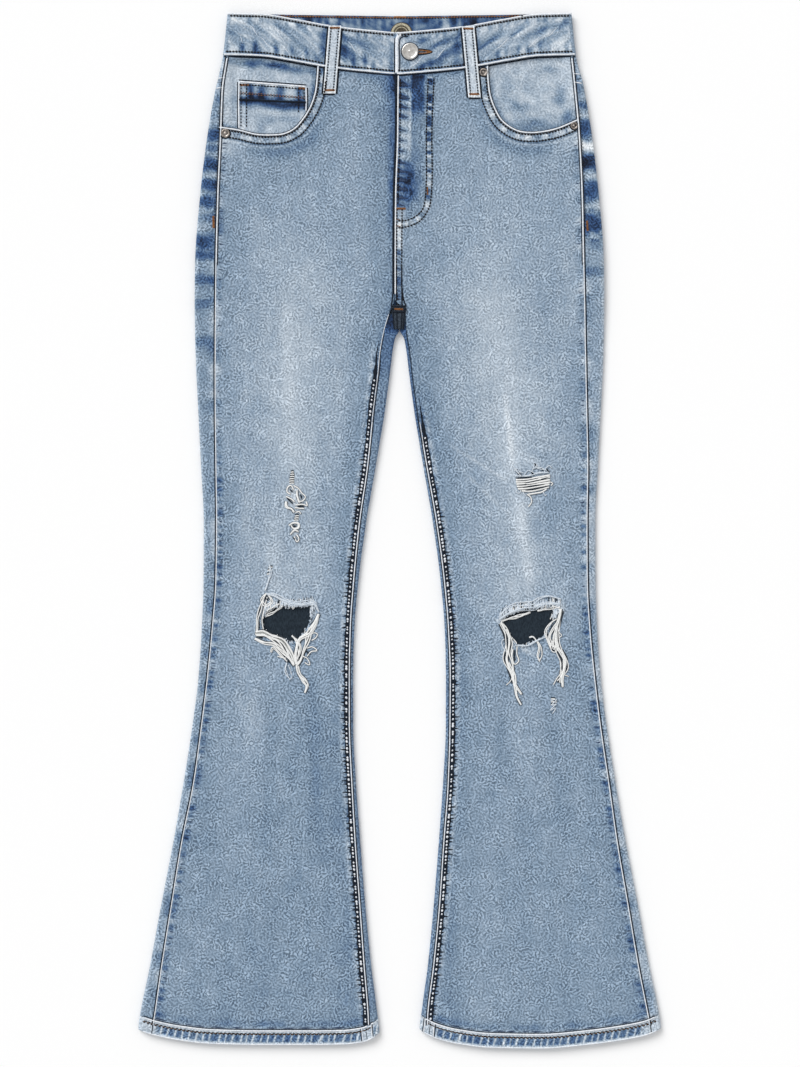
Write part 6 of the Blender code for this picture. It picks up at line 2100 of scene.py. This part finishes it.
# %% Rungs and dark gaps
RUNGS = {
    # short white threads across a worn ladder: half, down, width
    "fray_thigh_right": (
        (111.5, 477, 3), (111.5, 479.3, 4), (111.5, 481.6, 4.5), (112, 484, 5), (112, 486.3, 5),
        (112, 488.6, 5), (106.5, 522.5, 4), (107, 524.7, 4.5), (107.5, 527, 5),
    ),
    "fray_knee_left": (
        (160, 713, 5), (160.5, 716, 6), (160, 719, 5),
    ),
    "fray_knee_right": (
        (134, 576, 4), (135, 579, 4), (136, 583, 4),
    ),
}
SHADOW_GAPS = {
    # painted shadow in the gaps between threads: half and down of each end
    "fray_knee_right": (
        (141, 607.5, 135.5, 610.5), (146.5, 630, 146, 640), (147.5, 642, 144.5, 645),
        (148, 648, 142, 649.5), (106, 657, 104.5, 660.5), (105.5, 669, 104, 672),
        (117, 673, 112.5, 675.5), (97.5, 662.5, 93, 667), (133, 653, 124, 658),
    ),
    "fray_knee_left": (
        (113, 668, 113.5, 678), (119.5, 662, 119.5, 674), (163.5, 630, 161.5, 640),
        (158.5, 636, 157.5, 643), (154, 643, 153.5, 648),
    ),
    "fray_thigh_left": (
        (122.5, 486.2, 144, 483.4), (130, 488.9, 155, 482.4), (124, 490.6, 143, 488.2),
        (128, 493, 150, 489.4), (121.5, 483.6, 138, 482.6), (131, 496.2, 155.3, 491.7),
        (121.5, 477.4, 127.3, 480.6), (136.8, 477, 139.4, 479.3), (140.3, 467.6, 142.3, 471),
        (146.8, 473, 149.3, 475.4), (152.6, 473.5, 155.3, 476.7),
    ),
    "fray_thigh_right": (
        (114, 495, 111, 497.5), (103, 500, 101.5, 505), (117, 504, 110.5, 510), (106, 512.6, 99, 512.8),
        (111, 533, 107, 533), (111, 545, 107.5, 547),
    ),
}
TUFT_SEED = 7
TUFT_STEP = 0.62
LIP_LOW = {"right": 628, "left": 633}  # the upper lip of a knee rip ends here
print("dark gaps:", sum(len(rows) for rows in SHADOW_GAPS.values()))


# %% How a thread runs
def strand_paths(rng, count, spread, places):
    """A few paths that wander about one line and meet at its ends."""
    for k in range(count):
        line = Line(places, step=1.3).points
        t = np.linspace(0, 1, len(line))
        swing = spread * (np.sin(np.pi * t) * 0.7 + 0.3)
        phase = rng.uniform(0, 6.3, 2)
        turns = rng.uniform(0.7, 1.8)
        side = (2 * k / max(1, count - 1) - 1) * 0.6 if count > 1 else 0.0
        sway = side + 0.5 * np.sin(turns * 6.3 * t + phase[0])
        run = np.gradient(line, axis=0)
        run /= np.linalg.norm(run, axis=1)[:, None]
        path = line + np.stack((-run[:, 1], run[:, 0]), -1) * (swing * sway)[:, None]
        high = 0.25 + 0.5 * (k % 2) + 0.5 * (0.5 + 0.5 * np.sin(turns * 5 * t + phase[1]))
        yield path, high


def tufts(yarns, rng, leg):
    """Short ends of warp and weft that hang from the upper lip of a knee rip and curl below it."""
    line = rip_lines[leg]
    for at in np.arange(0, line.along[-1], TUFT_STEP):
        half, down = line.at(at)
        upper = down < LIP_LOW[leg]
        if not upper and rng.uniform() < 0.7:
            continue
        start = (half + rng.uniform(-1.2, 1.2), down - (rng.uniform(4.0, 10.5) if upper else -2))
        end = (start[0] + rng.uniform(-2.0, 2.0), down + (rng.uniform(-1.6, 2.4) if upper else -1))
        middle = (mix(start[0], end[0], 0.5) + rng.uniform(-1.2, 1.2), mix(start[1], end[1], 0.5))
        path = laid(leg, (start, middle, end), 1.0, 0.3 + rng.uniform(0, 0.7))
        yarn = ("fray", "fray", "shade", "fray", "weft", "shade", "fray")[rng.integers(7)]
        thick = {"fray": 0.9, "weft": 0.6, "shade": 0.65}[yarn] * (1 if upper else 0.7)
        tube(yarns[yarn], path, thick * np.linspace(0.5, 1, len(path)), 6, 0.8)


print("the rips' lips:", [round(float(line.along[-1])) for line in rip_lines.values()], "mm long")


# %% Lay the threads
def torn_threads():
    for name, rows in STRANDS.items():
        leg, title = name.split("_")[-1], name.split("_", 1)[1]
        rng = np.random.default_rng(TUFT_SEED + len(name))
        yarns = {"weft": Heap(), "fray": Heap(), "shade": Heap(), "dim": Heap()}
        for yarn, count, spread, radius, *places in rows:
            places = np.reshape(places, (-1, 2))
            if yarn == "weft":
                under = laid(leg, places, 1.5, 0.1)
                # a wider cord of yarn in painted shade under each weft bundle
                tube(yarns["shade"], under, 1.15 * (radius + spread), 8, 0.3)
            if "thigh" in name:
                radius *= 1.25
            elif yarn == "fray":
                spread, radius = spread * 1.1, radius * 1.2
            elif count > 1:
                spread, radius = spread * 1.75, radius * 1.14
            else:
                radius *= 1.15
            for k, (path, high) in enumerate(strand_paths(rng, count, spread, places)):
                dim = "knee" in name and yarn == "weft" and count > 3 and k % 3 == 1
                lying = laid(leg, path, 1.3)
                over = np.interp(np.linspace(0, 1, len(lying)), np.linspace(0, 1, len(high)), high)
                lying[:, 2] += (radius * 0.6 + over - 0.3 * dim) * MM
                tube(yarns["dim" if dim else yarn], lying, radius, 6, 0.85)
        for half, down, width in RUNGS.get(name, ()):
            bar = ((half + width / 2, down + 0.3), (half, down - 0.2), (half - width / 2, down))
            path = laid(leg, bar, 1.0, 0.3)
            tube(yarns["weft"], path, 0.62, 6)
            # a painted shadow just below each rung
            tube(yarns["shade"], path + (0, 0.0012, -0.0003), 0.75, 6, 0.5)
        if "knee" in name:
            tufts(yarns, rng, leg)
        if name in SHADOW_GAPS:
            gaps = Heap()
            for ax, ay, bx, by in SHADOW_GAPS[name]:
                deep = 1.5 if name == "fray_thigh_left" else 0.9
                path = laid(leg, ((ax, ay), ((ax + bx) / 2, (ay + by) / 2), (bx, by)), 1.0, deep)
                thick = 0.85 * np.sin(np.linspace(0.15, np.pi - 0.15, len(path))) ** 0.5
                tube(gaps, path, thick, 6, 0.5)
            gaps.make("painted_shadow_gaps_" + title, JERSEY_AND_GAP_SHADE, "dark_cloth")
        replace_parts(yarns["weft"].make("torn_weft_" + title, WEFT), name)
        for yarn, kind, finish in (("shade", "shaded_yarns_", SHADED_YARN), ("dim", "dim_weft_", DIM_WEFT),
                                   ("fray", "torn_warp_", BLUE_FRAY)):
            if yarns[yarn].count:
                yarns[yarn].make(kind + title, finish)


torn_threads()

# %% [markdown]
# ## Button, rivets and the label disc
# The button is a stamped cap pressed onto a shank: a domed rim, a shallow dish and a small stud in
# the middle. Each rivet is a ring with a nipple. They are turned shapes, so each is one profile spun
# round its axis. The disc on the inner back band is plain: a ring on a dark round, with no words.

# %% Turned metal
BUTTON_PROFILE = ((0, 2.35), (0.55, 2.3), (0.8, 1.75), (1.1, 1.6), (3.6, 1.72), (5.9, 1.85), (6.5, 2.0),
                  (7.0, 2.45), (7.7, 2.6), (8.4, 2.3), (8.8, 1.5), (8.75, 0.7), (8.2, 0.15), (2.6, 0.1),
                  (2.6, -2.3), (0, -2.3))
RIVET_PROFILE = ((0, 1.25), (0.6, 1.2), (1.0, 0.75), (1.4, 0.4), (2.0, 0.45), (2.6, 0.95), (3.1, 1.05),
                 (3.6, 0.85), (4.0, 0.35), (4.0, 0.05), (0, 0.05))
DISC_AT = (2.0, 20.3)
DISC_PROFILE = ((0, 0.45), (6.6, 0.45), (6.9, 0.68), (8.6, 0.68), (8.9, 0.45), (10.4, 0.45), (10.8, 0.6),
                (11.4, 0.5), (11.4, 0.02), (0, 0.02))


def turned(name, solid, profile, at, finish, slot, steps=56):
    """Spins a profile of (radius, height) in mm round Z."""
    angle = 2 * np.pi * np.arange(steps) / steps
    rings = [(radius * np.cos(angle), radius * np.sin(angle), height + 0 * angle)
             for radius, height in profile[1:-1]]
    ring_points = np.concatenate([np.stack(ring, -1) for ring in rings]) * MM
    ends = np.array([(0, 0, profile[0][1]), (0, 0, profile[-1][1])]) * MM
    points = np.concatenate((ring_points, ends)) + at
    count = len(rings)
    faces = grid_faces(count, steps, True).tolist()
    top, low = count * steps, count * steps + 1
    first, last = np.arange(steps), np.arange(steps) + (count - 1) * steps
    faces += [[top, a, b] for a, b in zip(first, np.roll(first, -1))]
    faces += [[low, b, a] for a, b in zip(last, np.roll(last, -1))]
    dress(add_object(name, points, faces, (finish,)), solid, slot=slot)


turned("button_cap", "waist_button", BUTTON_PROFILE,
       place("left", *BUTTON_AT, BAND_OUTER + LAP_RISE + GAP), NICKEL, "silver_metal")
for name, leg, half, down, face in RIVETS:
    seat = resting(place(leg, half, down, 0)[None, :2])[0]
    profile = [(radius * face / 4.0, height) for radius, height in RIVET_PROFILE]
    turned(name + "_cap", name, profile, seat + (0, 0, 0.0001), BLACK_COPPER, "pewter_metal", 40)
disc_seat = place("left", *DISC_AT, float(LEVELS.at("lift", 0)) + BAND_CLOTH + GAP)
turned("label_disc", "waist_disc", DISC_PROFILE, disc_seat, LABEL_GROUND, "dark_cloth")
ring = Heap()
for radius, thick in ((9.3, 1.25), (6.3, 0.5)):
    flat = circle(0, 0, radius, 49)
    tube(ring, np.column_stack((flat, np.full(49, 0.55))) * MM + disc_seat, thick, 8, 0.3)
ring.make("label_disc_ring", LABEL, "dark_cloth")
# the zip lies hidden under the fly, so its solid stays and gets the metal
for seat in bpy.data.objects["zip"].material_slots:
    seat.material = BLACK_COPPER


# %% The two boxes, side by side
def plain(box):
    return [[float(part) for part in corner] for corner in box]


{"cad": plain(cad_box), "visual": plain(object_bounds())}
